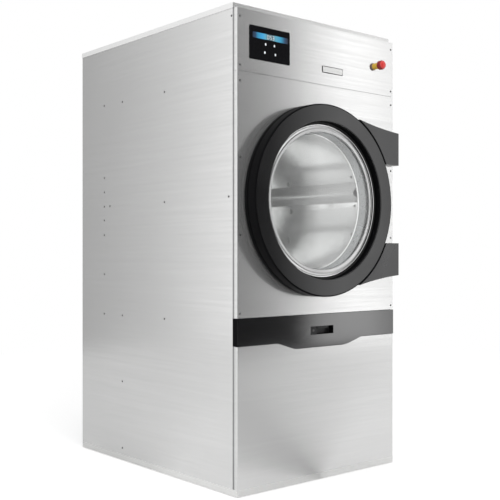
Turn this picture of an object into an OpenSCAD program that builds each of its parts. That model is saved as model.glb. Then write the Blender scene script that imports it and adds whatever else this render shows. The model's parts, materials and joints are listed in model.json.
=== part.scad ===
// Vented tumble dryer, floor standing, with a round front door.
// Millimetres, +Z up, the front looks along -Y. The origin is on the floor,
// under the middle of the whole machine.

/* [Cabinet] */
// Width over the side panels
cab_w = 800; // [760:1:860]
// Depth from the front panels to the rear panel
cab_d = 1041; // [1000:1:1120]
// Height over the lid
cab_h = 1685; // [1640:1:1760]
// Sheet thickness of the casing
sheet = 1.5; // [1:0.1:2]
// Depth of the folded edges round the front panels
fold_d = 16; // [13:1:20]
// Width of the side panels' set-back front edge
strip_w = 8; // [5:1:10]
// How far that edge is set back
strip_in = 2; // [1.7:0.1:3]
// Joint between neighbouring panels
joint_gap = 1; // [0.5:0.1:2]
// Height of the plinth band
plinth_h = 22; // [16:1:30]
// Clearance of the plinth over the floor
plinth_lift = 2; // [1:0.5:6]
// Wall of the frame rails
rail_t = 3; // [2:0.5:4]
// Width of the frame rails and posts
rail_w = 30; // [24:1:36]
// Height of the top frame
top_rail_h = 24; // [18:1:30]
// Height of the base frame's inner lip above the plinth
lip_h = 36; // [28:1:40]
// Depth of the two grooves in the plinth band
plinth_groove = 0.8; // [0.4:0.1:1.2]
// How far the lid stands out past the side panels
lid_over = 2; // [1:0.5:4]
// Height of the lid's skirt
lid_skirt = 19; // [14:1:26]
// How far the lid's top stands above the front panels
lid_rise = 20; // [12:1:26]
// How far the lid's front lies behind the front panels
lid_back = 22; // [18:1:23]
// Radius of the screw heads
screw_head_r = 4; // [3:0.5:5]
// Thickness of the screw heads
screw_head_t = 1.2; // [0.8:0.1:2]
// Radius of the screw shanks
screw_r = 2; // [1.5:0.1:2.5]
// Screws from the cabinet's edges
screw_in = 11.5; // [9:0.5:16]

/* [Feet] */
// Radius of a foot's pad
foot_r = 20; // [16:1:24]
// Height of a foot's pad
foot_h = 10; // [8:1:11]
// Radius of a foot's threaded stud
stud_r = 6; // [5:0.5:8]
// Length of a foot's threaded stud
stud_l = 46; // [36:1:60]
// Feet from the cabinet's edges
foot_in = 60; // [55:1:70]
// Height of the nut that a stud turns in
foot_nut_h = 20; // [14:1:26]

/* [Front panels] */
// Height of the control panel
control_h = 215; // [195:1:235]
// Top of the drawer front
band_top = 607; // [595:1:615]
// Bottom of the drawer front beside its flap
band_low = 512; // [505:1:530]
// How far the flap of the drawer front hangs down
flap_drop = 25; // [15:1:40]
// Width of that flap where it starts
flap_top_w = 430; // [380:1:460]
// Width of that flap along its bottom
flap_low_w = 260; // [200:1:320]
// Length of the bend at the flap's right lower corner
flap_bend = 26; // [10:1:40]

/* [Display] */
// Width of the display glass
disp_w = 190; // [150:1:220]
// Height of the display glass
disp_h = 117; // [90:1:130]
// Middle of the display, from the cabinet's left side
disp_in = 147; // [130:1:170]
// Middle of the display, from the front panels' top
disp_down = 109; // [95:1:125]
// Thickness of the display glass
disp_t = 3; // [2:0.5:4]
// How far the display glass stands proud of the panel
disp_proud = 1; // [0.5:0.1:2]
// How far the display glass overlaps its cut-out
disp_rim = 4; // [2:0.5:6]
// Corner radius of the display glass
disp_corner = 5; // [3:0.5:8]
// Thickness of the carrier behind the display
carrier_t = 6; // [4:0.5:8]
// Thickness of the circuit board
board_t = 3; // [1.5:0.5:4]
// Height of the parts on the circuit board
board_parts_h = 22; // [14:1:26]

/* [Badge plate] */
// Width of the bare badge plate
badge_w = 108; // [80:1:120]
// Height of the badge plate
badge_h = 25; // [18:1:32]
// Middle of the badge plate, from the cabinet's middle
badge_x = 59; // [40:1:80]
// Middle of the badge plate, from the front panels' top
badge_down = 156; // [145:1:165]
// Thickness of the badge plate
badge_t = 1.6; // [1:0.1:3]

/* [Emergency stop] */
// Middle of the button, from the cabinet's right side
stop_in = 122; // [100:1:150]
// Middle of the button, from the front panels' top
stop_down = 112; // [95:1:125]
// Radius of the yellow collar
collar_r = 13.5; // [12:0.5:15]
// Length of the yellow collar
collar_l = 33; // [26:1:36]
// Radius of the collar's thread behind the panel
stop_thread_r = 11; // [10:0.5:12]
// Radius of the stem
stop_stem_r = 8; // [6:0.5:9]
// Radius of the mushroom head
stop_head_r = 17.5; // [15:0.5:20]
// Thickness of the mushroom head
stop_head_t = 24; // [18:1:28]
// How far the button can be pressed
stop_travel = 4; // [3:0.5:5]

/* [Door] */
// Middle of the door, from the cabinet's middle
door_x = -26; // [-40:1:-20]
// Height of the door's middle
door_z = 1020; // [1010:1:1030]
// Outer radius of the door ring
door_r = 348; // [338:1:352]
// Radius of the hole in the door ring
door_hole_r = 286; // [281:1:290]
// How far the door ring's face stands out from the panels
door_proud = 62; // [58:1:66]
// Wall of the door ring
door_wall = 4; // [3:0.5:5]
// Clear space behind the door ring
door_gap = 6; // [5:0.5:8]
// Radius on the edges of the door ring's face
door_edge_r = 5; // [3:0.5:7]
// Depth of the groove in the door ring's side
groove_d = 3; // [2:0.5:3.5]
// Width of that groove
groove_w = 6; // [4:0.5:10]
// Inner radius of the steel ring that holds the glass
clamp_in_r = 250; // [246:1:254]
// Outer radius of the steel ring that holds the glass
clamp_out_r = 278; // [274:1:281]
// How far behind the door's face the steel ring starts
clamp_back = 26.5; // [22:0.5:30]
// Thickness of the door glass
glass_t = 6; // [5:0.5:8]
// Radius of the door glass
glass_r = 272; // [268:1:273]
// Sheet of the plate behind the door ring
door_plate_t = 2; // [1.5:0.5:3]

/* [Door hinge] */
// Right end of the hinge arms, from the door's middle
arm_end = 393; // [387:1:399]
// Inner edge of a hinge arm, above or below the door's middle
arm_low = 151; // [140:1:160]
// Outer edge of a hinge arm at its right end
arm_high = 275; // [265:1:285]
// Height at which an arm runs into the door ring
arm_root = 309; // [303:1:315]
// Radius of the hollow curve along an arm
arm_curve_r = 1500; // [1200:10:3000]
// Groove between the door ring and an arm
arm_gap = 4; // [3:0.5:6]
// Hinge pin from the arm's right end
pin_in = 13; // [12.5:0.5:14]
// Hinge pin in front of the panels
pin_out = 33; // [32:0.5:34]
// Radius of the hinge pin
pin_r = 6; // [5:0.5:6.5]
// Length of the hinge pin
pin_l = 90; // [70:1:96]
// Running clearance round the hinge pin
pin_run = 0.06; // [0.03:0.01:0.09]
// Height of the hinge lug
lug_h = 30; // [22:1:36]
// Radius of the hinge lug's end
lug_r = 9; // [8:0.5:9.5]
// Thickness of the hinge's base plate
lug_base_t = 2.5; // [2:0.1:2.6]

/* [Loading opening] */
// Inner radius of the loading collar
throat_r = 268; // [262:1:269]
// How far the loading collar stands out from the panels
throat_out = 16; // [14:0.5:17]
// How far the loading collar reaches in
throat_in = 33; // [28:1:34]
// Wall of the loading collar
throat_t = 2; // [1.5:0.5:2.5]
// Inner radius of the funnel inside the loading collar
funnel_r = 245; // [240:1:252]
// Where the funnel's rolled edge lies behind the front panels
funnel_y = 22; // [18:0.5:26]
// How far in front of its rolled edge the funnel starts
funnel_l = 19; // [12:0.5:22]
// Radius of the funnel's rolled edge
funnel_bead = 2.5; // [2:0.5:3]
// Width of the collar's flange behind the door panel
collar_flange = 32; // [26:1:34]
// Radius of the felt ring against the drum
felt_r = 294; // [288:1:300]
// Width of the felt ring
felt_w = 18; // [14:1:20]

/* [Drum] */
// Outer radius of the drum
drum_r = 335; // [325:1:340]
// Wall of the drum
drum_t = 2; // [1.5:0.5:3]
// Inner radius of the drum's front lip
lip_r = 265; // [260:1:267]
// Front of the drum's lip behind the front panels
drum_front = 36; // [35.5:0.5:42]
// Depth of the drum's conical front
cone_l = 24; // [20:1:28]
// Radius of the rolled edge of the drum's lip
lip_bead = 3; // [2:0.5:3.5]
// Back wall of the drum behind the front panels
drum_back = 575; // [540:1:600]
// Number of lifters
lifters = 3; // [3:1:4]
// Height of a lifter
lifter_h = 60; // [45:1:75]
// Width of a lifter along the drum's wall
lifter_w = 80; // [60:1:90]
// Wall of a lifter
lifter_t = 2; // [1.5:0.5:3]
// Turn of the first lifter above the horizontal
lifter_turn = 9.5; // [0:0.5:60]
// Radius of the air holes
air_hole_r = 5; // [3:0.5:6]
// Rows of air holes in the drum's wall
wall_rows = 2; // [1:1:4]
// Distance between those rows
row_pitch = 30; // [24:1:40]
// Rings of air holes in the back wall
air_rings = 3; // [2:1:4]
// Thickness of the carrier behind the drum
spider_t = 14; // [10:1:18]
// Radius of the drum's shaft
shaft_r = 25; // [20:1:30]
// Length of the drum's shaft behind the back wall
shaft_l = 250; // [240:1:270]

/* [Drum drive] */
// Radius of the bearing housing
housing_r = 58; // [52:1:66]
// Length of the bearing housing
housing_l = 145; // [120:1:150]
// Outer radius of a bearing
bearing_r = 42; // [38:1:46]
// Width of a bearing
bearing_w = 22; // [18:1:26]
// Running clearance of the shafts in their bearings
shaft_run = 0.05; // [0.02:0.01:0.09]
// Radius of the drum's pulley
pulley_r = 198; // [170:1:205]
// Width of the pulleys
pulley_w = 36; // [30:1:40]
// How far the web of the drum's pulley lies inside its rim
web_in = 7; // [4:0.5:10]
// Radius of the motor's pulley
motor_pulley_r = 25; // [22:1:30]
// Thickness of the belt
belt_t = 5; // [4:0.5:7]
// Width of the belt
belt_w = 26; // [20:1:28]
// Middle of the motor, from the cabinet's left side
motor_in = 125; // [115:1:128]
// Height of the motor's middle
motor_z = 330; // [300:1:360]
// Radius of the motor
motor_r = 68; // [60:1:76]
// Length of the motor
motor_l = 190; // [160:1:200]
// Radius of the motor's shaft
motor_shaft_r = 12; // [9:1:14]

/* [Blower] */
// Middle of the blower, from the exhaust's middle
fan_side = 290; // [286:1:293]
// Height of the blower's middle
fan_z = 290; // [280:1:310]
// Radius of the blower wheel
fan_r = 125; // [110:1:130]
// Depth of the blower wheel
fan_w = 88; // [70:1:95]
// Number of blades on the blower wheel
fan_blades = 24; // [16:1:30]
// Depth of the blower housing
scroll_w = 120; // [110:1:130]
// Front of the blower housing behind the front panels
scroll_y = 560; // [556:1:570]
// Smallest radius of the scroll
scroll_r = 140; // [136:1:146]
// How much the scroll grows in one turn
scroll_grow = 50; // [40:1:55]
// Radius of the blower's inlet
inlet_r = 80; // [70:1:90]
// Radius of the blower's motor
fan_motor_r = 58; // [50:1:66]
// Length of the blower's motor
fan_motor_l = 170; // [150:1:200]
// Radius of the blower's shaft
fan_shaft_r = 9; // [7:0.5:11]

/* [Exhaust] */
// Outer radius of the exhaust spigot
spigot_r = 99.5; // [95:0.5:102]
// How far the exhaust spigot stands out of the rear panel
spigot_l = 50; // [40:1:70]
// How much narrower the spigot is where it passes the rear panel
spigot_step = 1; // [0.7:0.1:1.5]
// Middle of the exhaust, from the cabinet's right side
spigot_in = 145; // [143:1:147]
// Height of the exhaust's middle
spigot_z = 405; // [400:1:410]
// Side of the square exhaust duct
duct_w = 210; // [206:1:216]

/* [Lint filter] */
// Width of the filter drawer's tray
tray_w = 480; // [420:1:500]
// Depth of the filter drawer's tray
tray_d = 420; // [380:1:430]
// Height of the filter drawer's tray
tray_h = 62; // [54:1:64]
// Bottom of the tray above the floor
tray_z = 532; // [530:1:534]
// Clearance beside the tray in its housing
tray_clear = 3; // [2:0.5:4]
// Room for the air under the tray
tray_drop = 24; // [18:1:26]
// Width of the tray's runners
runner_w = 12; // [8:1:13]
// Bars across the lint screen's width
screen_bars_x = 12; // [8:1:16]
// Bars along the lint screen's depth
screen_bars_y = 10; // [8:1:14]
// Width of a bar of the lint screen
screen_bar = 2; // [1.5:0.5:3]
// How far the drawer front stands out from the panels
band_proud = 2; // [1:0.5:3]
// Depth of the drawer front's ends round the cabinet's corners
band_return = 24; // [20:0.5:24.5]
// Width of the handle recess
grip_w = 118; // [100:1:130]
// Height of the handle recess
grip_h = 30; // [26:1:34]
// Depth of the handle recess
grip_d = 22; // [18:1:26]
// Width of the lock's plate in the recess
lock_plate_w = 36; // [30:1:42]
// Radius of the lock
lock_r = 5; // [4:0.5:7]

/* [Air heater] */
// Width of the heater box
heater_w = 440; // [380:1:480]
// Height of the heater box
heater_h = 200; // [170:1:220]
// Bottom of the heater box over the drum's pulley
heater_up = 32; // [20:1:50]
// Depth of the heater box
heater_d = 330; // [280:1:360]
// Radius of a heating rod
rod_r = 5; // [4:0.5:7]
// Number of heating rods
rods = 6; // [4:1:8]
// Width of the air intake in the rear panel
intake_w = 400; // [340:1:440]
// Height of the air intake
intake_h = 200; // [160:1:240]
// Number of slats in the air intake
slats = 9; // [6:1:12]

/* [Supply entry] */
// Outer radius of the cable gland
gland_r = 16; // [13:1:20]
// Radius of the gland's bore
gland_bore_r = 8; // [6:0.5:10]
// Length of the gland outside the rear panel
gland_l = 24; // [18:1:30]
// Middle of the gland, from the cabinet's left side
gland_in = 100; // [70:1:120]
// Middle of the gland, from the front panels' top
gland_down = 185; // [150:1:220]

/* [Hidden] */
$fn = 96;
eps = 0.5;
clear = 0.3;
cut = 1;

// The cabinet's front face along Y, so that the machine's box is centred on the origin
total_d = door_proud + cab_d + spigot_l;
front_y = door_proud - total_d / 2;

half_w = cab_w / 2;
plinth_top = plinth_lift + plinth_h;
panel_top = cab_h - lid_rise;
side_top = cab_h - sheet - joint_gap;
flange_z = plinth_lift + foot_h + 2;
rail_in = 7;
frame_top = panel_top - joint_gap;
frame_low = frame_top - top_rail_h;
split_z = panel_top - control_h;
// Where the side panels' set-back edge, the side panels and the front posts begin
strip_y = fold_d + joint_gap;
side_y = strip_y + strip_w;
post_y = side_y + 3;
strip_top = cab_h - lid_skirt - joint_gap;

// What is fixed to the panels keeps its distance from their sides and their top
disp_x = disp_in - half_w;
disp_z = panel_top - disp_down;
badge_z = panel_top - badge_down;
stop_x = half_w - stop_in;
stop_z = panel_top - stop_down;
gland_x = gland_in - half_w;
gland_z = panel_top - gland_down;
motor_x = motor_in - half_w;
spigot_x = half_w - spigot_in;
fan_x = spigot_x - fan_side;

// Door: distances behind the door's face, and places along Y
face_y = -door_proud;
clamp_y = face_y + clamp_back;
glass_y = clamp_y + 5.5;
glass_back = glass_y + glass_t;
plate_y = -door_gap - door_plate_t;
ring_r0 = door_hole_r - clear;
pin_x = arm_end - pin_in;
lug_z = (arm_low + arm_high) / 2;

// Emergency stop: where its thread ends, and the front of its stem
stop_back = 14;
stem_front = -collar_l - stop_travel - 2 - stop_head_t * 0.55;

drum_in_r = drum_r - drum_t;
shell_y = drum_front + cone_l;
cone_r0 = lip_r + lip_bead;
// Where the front of the drum's conical front lies at a radius
function cone_y(r) = drum_front + 2 + (r - cone_r0) * (cone_l - 6) / (drum_r - cone_r0);
spider_y = drum_back + drum_t;
bulkhead_y = spider_y + spider_t + 8;
housing_y = bulkhead_y + rail_t;
pulley_y = housing_y + housing_l + 18;
belt_gap = 0.5;

screen_t = 2;
plenum_z = band_top + 5;
grip_z = 548;
grip_x = 3;
heater_x = -30;
heater_y = bulkhead_y + rail_t;
heater_z = door_z + pulley_r + heater_up;
window_w = 300;
window_h = 80;
intake_z = heater_z + heater_h / 2 + 20;
scroll_back = scroll_y + scroll_w;

front_rows = [
    band_top + 17, door_z - 129, door_z + 136, split_z - 33, split_z + 21, panel_top - 29];
front_screws = [for (s = [-1, 1], z = front_rows) [s * (half_w - screw_in), z]];
side_rear_y = 862;
side_mid_y = 724;
side_front_y = 430;
side_screws = [
    [side_y + 6, panel_top - 25],
    [side_rear_y, split_z - 11], [side_mid_y, split_z - 13], [side_front_y, split_z - 14],
    [side_rear_y, 1141], [side_rear_y, 1082], [side_rear_y, 1023], [side_rear_y - 44, 1023],
    [side_rear_y, 966], [side_rear_y, 905], [side_front_y, 1022], [side_y + 21, 1024],
    [side_rear_y, 744], [side_rear_y, 581], [side_mid_y, 581], [side_front_y, 584],
    [side_mid_y, 317], [side_mid_y, 50]];

// Puts a shape from the cabinet's own frame, where the front face is y = 0, into the part's frame
module in_place() translate([0, front_y, 0]) children();

// A box from its lowest to its highest corner
module block(low, high) translate(low) cube(high - low);

// An outline in X and Z, thickened from y0 to y1
module slab(y0, y1) translate([0, y1, 0]) rotate([90, 0, 0]) linear_extrude(y1 - y0) children();

// A cylinder along Y
module rod_y(r, y0, y1) translate([0, y0, 0]) rotate([-90, 0, 0]) cylinder(r = r, h = y1 - y0);

// A profile of radius and y, turned about an axis along Y
module turned() rotate([-90, 0, 0]) rotate_extrude($fn = 180) children();

module at_door() translate([door_x, 0, door_z]) children();

// A rectangular ring that follows the cabinet's outline, between two insets
module outline_ring(in0, in1, z0, z1) {
    difference() {
        block([-half_w + in0, in0, z0], [half_w - in0, cab_d - in0, z1]);
        block([-half_w + in1, in1, z0 - cut], [half_w - in1, cab_d - in1, z1 + cut]);
    }
}

module foot_places() {
    for (x = [-half_w + foot_in, half_w - foot_in], y = [foot_in, cab_d - foot_in])
        translate([x, y, 0]) children();
}

module screw_holes(list, z0, z1) {
    for (p = list) if (p[1] > z0 && p[1] < z1)
        translate([p[0], 0, p[1]]) rod_y(screw_r + 0.1, -cut, sheet + cut);
}

module side_screw_holes() {
    for (p = side_screws)
        translate([-half_w, p[0], p[1]]) rotate([0, 90, 0])
            cylinder(r = screw_r + 0.1, h = 3 * rail_in, center = true);
}

// Frame and casing

module base_frame() {
    in_place() color("lightgray") difference() {
        union() {
            outline_ring(0, rail_t, plinth_lift, plinth_top);
            outline_ring(0, rail_in, plinth_top - rail_t, plinth_top);
            outline_ring(4, rail_in, plinth_top - rail_t, plinth_top + lip_h);
            outline_ring(rail_t - eps, foot_in + foot_r - 4, flange_z, flange_z + rail_t);
            foot_places() translate([0, 0, flange_z]) cylinder(r = stud_r + 6, h = foot_nut_h);
        }
        foot_places() translate([0, 0, -cut]) cylinder(r = stud_r, h = foot_h + stud_l + 2 * cut);
        for (z = [1, 2]) outline_ring(-cut, plinth_groove,
            plinth_lift + z * plinth_h / 3 - plinth_groove, plinth_lift + z * plinth_h / 3 + plinth_groove);
        for (s = [0, 1]) mirror([s, 0, 0]) side_screw_holes();
    }
}

module levelling_feet() {
    in_place() color("dimgray") foot_places() {
        cylinder(r = foot_r, h = foot_h * 0.6);
        cylinder(r1 = foot_r, r2 = foot_r * 0.6, h = foot_h);
        cylinder(r = stud_r, h = foot_h + stud_l);
    }
}

module base_tray() {
    corner = foot_in + foot_r;
    top = flange_z + rail_t + sheet;
    in_place() color("silver") difference() {
        block([-half_w + rail_in + 1, rail_in + 1, top - sheet],
              [half_w - rail_in - 1, cab_d - rail_in - 1, top]);
        for (x = [-1, 1], y = [0, cab_d])
            block([x * half_w - corner, y - corner, 0], [x * half_w + corner, y + corner, top + cut]);
    }
}

module corner_posts() {
    z0 = flange_z + rail_t;
    x1 = half_w - rail_in;
    in_place() color("silver") for (s = [0, 1]) mirror([s, 0, 0]) {
        for (y = [post_y, cab_d - rail_in - rail_w]) {
            back = y > post_y ? rail_w - rail_t : 0;
            block([-x1, y + back, z0], [rail_w - x1, y + back + rail_t, frame_low]);
            block([-x1, y, z0], [rail_t - x1, y + rail_w, frame_low]);
        }
    }
}

module top_frame() {
    in_place() color("silver") {
        difference() {
            block([-half_w + rail_in, post_y, frame_low], [half_w - rail_in, cab_d - rail_in, frame_top]);
            block([-half_w + rail_in + rail_t, post_y + rail_t, frame_low + rail_t],
                  [half_w - rail_in - rail_t, cab_d - rail_in - rail_t, frame_top + cut]);
            block([-half_w + rail_in + rail_w, post_y + rail_w, frame_low - cut],
                  [half_w - rail_in - rail_w, cab_d - rail_in - rail_w, frame_top + cut]);
        }
    }
}

// One side panel, drawn on the left and mirrored for the right
module side_sheet() {
    strip_x = strip_in - half_w;
    difference() {
        union() {
            block([-half_w, side_y, plinth_top], [sheet - half_w, cab_d, side_top]);
            block([-half_w, side_y, plinth_top], [strip_x + sheet, side_y + sheet, strip_top]);
            block([strip_x, strip_y, plinth_top], [strip_x + sheet, side_y + sheet, strip_top]);
            block([strip_x, strip_y, plinth_top + lip_h + 4],
                  [rail_w - half_w, strip_y + sheet, frame_low - joint_gap]);
        }
        side_screw_holes();
        for (p = front_screws) translate([p[0], 0, p[1]])
            rod_y(screw_r + 0.1, strip_y - cut, strip_y + sheet + cut);
    }
}

module side_panel_left() in_place() color("gainsboro") side_sheet();
module side_panel_right() in_place() color("gainsboro") mirror([1, 0, 0]) side_sheet();

module rear_panel() {
    in_place() color("silver") difference() {
        block([-half_w + sheet + clear, cab_d - sheet, plinth_top],
              [half_w - sheet - clear, cab_d, side_top]);
        translate([spigot_x, 0, spigot_z]) rod_y(spigot_r + clear, cab_d - 20, cab_d + 20);
        translate([gland_x, 0, gland_z]) rod_y(gland_r * 0.7, cab_d - 20, cab_d + 20);
        block([heater_x - intake_w / 2, cab_d - 20, intake_z - intake_h / 2],
              [heater_x + intake_w / 2, cab_d + 20, intake_z + intake_h / 2]);
    }
}

module top_lid() {
    out = half_w + lid_over;
    y1 = cab_d + lid_over;
    in_place() color("whitesmoke") difference() {
        block([-out, lid_back, cab_h - lid_skirt], [out, y1, cab_h]);
        block([-out + sheet, lid_back + sheet, cab_h - lid_skirt - cut],
              [out - sheet, y1 - sheet, cab_h - sheet]);
    }
}

// A front panel: a sheet folded back along both sides, its top and its bottom
module front_sheet(z0, z1, flanges = true) {
    block([-half_w, 0, z0], [half_w, sheet, z1]);
    for (s = [-1, 1])
        block([s > 0 ? half_w - sheet : -half_w, 0, z0], [s > 0 ? half_w : -half_w + sheet, fold_d, z1]);
    if (flanges) {
        block([-half_w, 0, z1 - sheet], [half_w, fold_d - 3, z1]);
        block([-half_w, 0, z0], [half_w, fold_d / 2, z0 + sheet]);
    }
}

module control_panel() {
    z0 = split_z + joint_gap / 2;
    in_place() color("silver") difference() {
        front_sheet(z0, panel_top);
        block([disp_x - disp_w / 2 + disp_rim, -cut, disp_z - disp_h / 2 + disp_rim],
              [disp_x + disp_w / 2 - disp_rim, sheet + cut, disp_z + disp_h / 2 - disp_rim]);
        translate([stop_x, 0, stop_z]) rod_y(stop_thread_r + 0.2, -cut, sheet + cut);
        screw_holes(front_screws, z0, panel_top);
    }
}

module door_panel() {
    z0 = band_top + joint_gap;
    z1 = split_z - joint_gap / 2;
    in_place() color("silver") difference() {
        front_sheet(z0, z1);
        at_door() rod_y(throat_r + throat_t + 1, -cut, sheet + cut);
        screw_holes(front_screws, z0, z1);
    }
}

// Points along a soft bend from a to b, drawn towards c
function bend(a, c, b) = [for (t = [0:0.125:1]) (1 - t) * (1 - t) * a + 2 * t * (1 - t) * c + t * t * b];

// Outline of the drawer front and, grown by the joint, of the notch in the panel below it
module flap_outline(grow = 0) {
    top = band_low - grow;
    low = top - flap_drop;
    corner = [flap_low_w / 2, low];
    rise = [flap_top_w / 2, top] - corner;
    polygon(concat(
        [[-half_w, band_top], [-half_w, top], [-flap_top_w / 2, top], [-flap_low_w / 2, low]],
        bend(corner - [flap_bend, 0], corner, corner + flap_bend * rise / norm(rise)),
        [[flap_top_w / 2, top], [half_w, top], [half_w, band_top]]));
}

module lower_panel() {
    z0 = plinth_top;
    z1 = band_low - joint_gap;
    in_place() color("silver") difference() {
        front_sheet(z0, z1, false);
        slab(-cut, fold_d) flap_outline(joint_gap);
    }
}

module panel_screws() {
    in_place() color("gray") {
        for (p = front_screws) translate([p[0], 0, p[1]]) {
            rod_y(screw_head_r, -screw_head_t, 0);
            rod_y(screw_r, 0, fold_d + joint_gap + sheet + 1);
        }
        for (s = [0, 1], p = side_screws) mirror([s, 0, 0]) translate([-half_w, p[0], p[1]])
            rotate([0, 90, 0]) {
                translate([0, 0, -screw_head_t]) cylinder(r = screw_head_r, h = screw_head_t);
                cylinder(r = screw_r, h = 5);
            }
    }
}

// Controls

module rounded_outline(w, h, r) {
    square([w - 2 * r, h], center = true);
    square([w, h - 2 * r], center = true);
    for (x = [-1, 1], y = [-1, 1]) translate([x * (w / 2 - r), y * (h / 2 - r)]) circle(r = r, $fn = 32);
}

module display_glass() {
    in_place() color([0.05, 0.05, 0.06]) {
        translate([0, -disp_proud, 0]) slab(0, disp_proud)
            translate([disp_x, disp_z]) rounded_outline(disp_w, disp_h, disp_corner);
        slab(-eps, disp_t) translate([disp_x, disp_z])
            square([disp_w - 2 * disp_rim - 2 * clear, disp_h - 2 * disp_rim - 2 * clear], center = true);
    }
}

module control_box() {
    wide = disp_w / 2 + 5;
    tall = disp_h / 2 + 20;
    board_y = disp_t + carrier_t;
    parts_y = board_y + board_t;
    in_place() translate([disp_x, 0, disp_z]) {
        color("dimgray") block([-wide, disp_t, -tall], [wide, board_y, tall]);
        color("seagreen") block([-wide + 8, board_y - eps, -tall + 8], [wide - 8, parts_y, tall - 8]);
        color("black") for (x = [-0.6, -0.1, 0.4]) translate([x * wide, parts_y, -tall / 2])
            block([0, -eps, 0], [0.35 * wide, board_parts_h, tall]);
    }
}

module badge_plate() {
    in_place() color("gainsboro") difference() {
        translate([0, -badge_t, 0]) slab(0, badge_t)
            translate([badge_x, badge_z]) rounded_outline(badge_w, badge_h, 3);
        translate([0, -badge_t - cut, 0]) slab(0, cut + 0.4)
            translate([badge_x, badge_z]) square([badge_w - 6, badge_h - 6], center = true);
    }
}

module at_stop() translate([stop_x, 0, stop_z]) children();

module stop_collar() {
    in_place() at_stop() color("gold") turned() difference() {
        polygon([
            [0, stop_back], [0, -collar_l], [collar_r - 1.5, -collar_l], [collar_r, -collar_l + 1.5],
            [collar_r, 0], [stop_thread_r, 0], [stop_thread_r, stop_back]]);
        translate([0, -collar_l - cut]) square([stop_stem_r + shaft_run, collar_l + stop_back + 2 * cut]);
    }
}

module stop_contacts() {
    in_place() at_stop() color("dimgray") {
        block([-16, stop_back, -20], [16, stop_back + 44, 20]);
        difference() {
            block([-20, sheet, -20], [20, stop_back, 20]);
            rod_y(stop_thread_r, 0, stop_back + cut);
        }
    }
}

module stop_plunger() {
    in_place() at_stop() color("silver") rod_y(stop_stem_r, stem_front, stop_back - stop_travel - 1);
}

module stop_head() {
    back = -collar_l - stop_travel - 1;
    front = back - stop_head_t;
    in_place() at_stop() color("red") turned() difference() {
        polygon([
            [0, front], [stop_head_r * 0.5, front + 1], [stop_head_r * 0.85, front + 4],
            [stop_head_r, front + 9], [stop_head_r, back - 2], [stop_head_r - 1.5, back], [0, back]]);
        translate([0, stem_front - clear]) square([stop_stem_r + shaft_run, back - stem_front + clear + cut]);
    }
}

// Loading opening and the walls round the drum

module loading_collar() {
    in_place() at_door() color("lightgray") turned() {
        translate([throat_r, -throat_out]) square([throat_t, throat_out + throat_in]);
        translate([throat_r + throat_t - eps, sheet]) square([collar_flange, throat_t]);
        translate([throat_r + throat_t - eps, throat_in - 3 - throat_t])
            square([felt_r - throat_r - throat_t + 2, throat_t]);
        translate([throat_r + 2, -throat_out + 2]) circle(r = 2, $fn = 32);
        polygon([
            [throat_r + eps, funnel_y - funnel_l - eps], [throat_r + eps, funnel_y - funnel_l + 3],
            [funnel_r + funnel_bead, funnel_y + 1.5], [funnel_r + funnel_bead, funnel_y - 1.5]]);
        translate([funnel_r + funnel_bead, funnel_y]) circle(r = funnel_bead, $fn = 32);
    }
}

module drum_felt_ring() {
    felt_in = felt_r - felt_w;
    y0 = throat_in - 3;
    in_place() at_door() color("beige") turned() polygon([
        [felt_in, y0], [felt_r, y0], [felt_r, cone_y(felt_r) - clear], [felt_in, cone_y(felt_in) - clear]]);
}

module plenum_floor() {
    in_place() color("silver") difference() {
        block([-half_w + rail_in + rail_t + 1, post_y + rail_t, plenum_z],
              [half_w - rail_in - rail_t - 1, bulkhead_y, plenum_z + sheet]);
        block([-tray_w / 2 + rail_w, 60, plenum_z - cut], [tray_w / 2 - rail_w, tray_d - 20, plenum_z + 10]);
        for (s = [-1, 1])
            block([s * half_w - rail_in - rail_w - 2, 0, plenum_z - cut],
                  [s * half_w + rail_in + rail_w + 2, post_y + rail_w + 2, plenum_z + 10]);
    }
}

module rear_bulkhead() {
    in_place() color("silver") difference() {
        block([-half_w + sheet + clear, bulkhead_y, plenum_z],
              [half_w - sheet - clear, bulkhead_y + rail_t, frame_low - 2]);
        at_door() rod_y(shaft_r + 8, bulkhead_y - cut, bulkhead_y + 10);
        block([heater_x - window_w / 2, bulkhead_y - cut, heater_z + 6],
              [heater_x + window_w / 2, bulkhead_y + 10, heater_z + 6 + window_h]);
    }
}

// Door. In these modules the door's middle is the origin of X and Z.

module door_ring() {
    back = plate_y;
    groove_y = back - 12;
    in_place() at_door() color([0.08, 0.08, 0.08]) turned() difference() {
        union() {
            translate([door_hole_r, face_y + door_edge_r]) square([door_wall, back - face_y - door_edge_r]);
            translate([door_r - door_wall, face_y + door_edge_r])
                square([door_wall, back - face_y - door_edge_r]);
            translate([door_hole_r + 1, face_y]) square([door_r - door_hole_r - 1 - door_edge_r, door_wall]);
            translate([door_hole_r, face_y + 1]) square([door_wall, door_edge_r]);
            translate([door_r - door_edge_r, face_y + door_edge_r]) circle(r = door_edge_r, $fn = 48);
            translate([door_r - door_wall - 2, groove_y - groove_w - 2]) square([3, groove_w + 4]);
        }
        translate([door_r - groove_d, groove_y - groove_w]) square([groove_d + cut, groove_w]);
    }
}

// Distance of the big circle's centre that draws an arm's hollow edge
arm_root_x = sqrt(pow(door_r + arm_gap, 2) - pow(arm_root, 2));
arm_dx = arm_end - arm_root_x;
arm_dz = arm_high - arm_root;
arm_chord = norm([arm_dx, arm_dz]);
arm_centre = [arm_root_x, arm_root] + [arm_dx, arm_dz] / 2
    + [-arm_dz, arm_dx] / arm_chord * sqrt(pow(arm_curve_r, 2) - pow(arm_chord / 2, 2));

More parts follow.
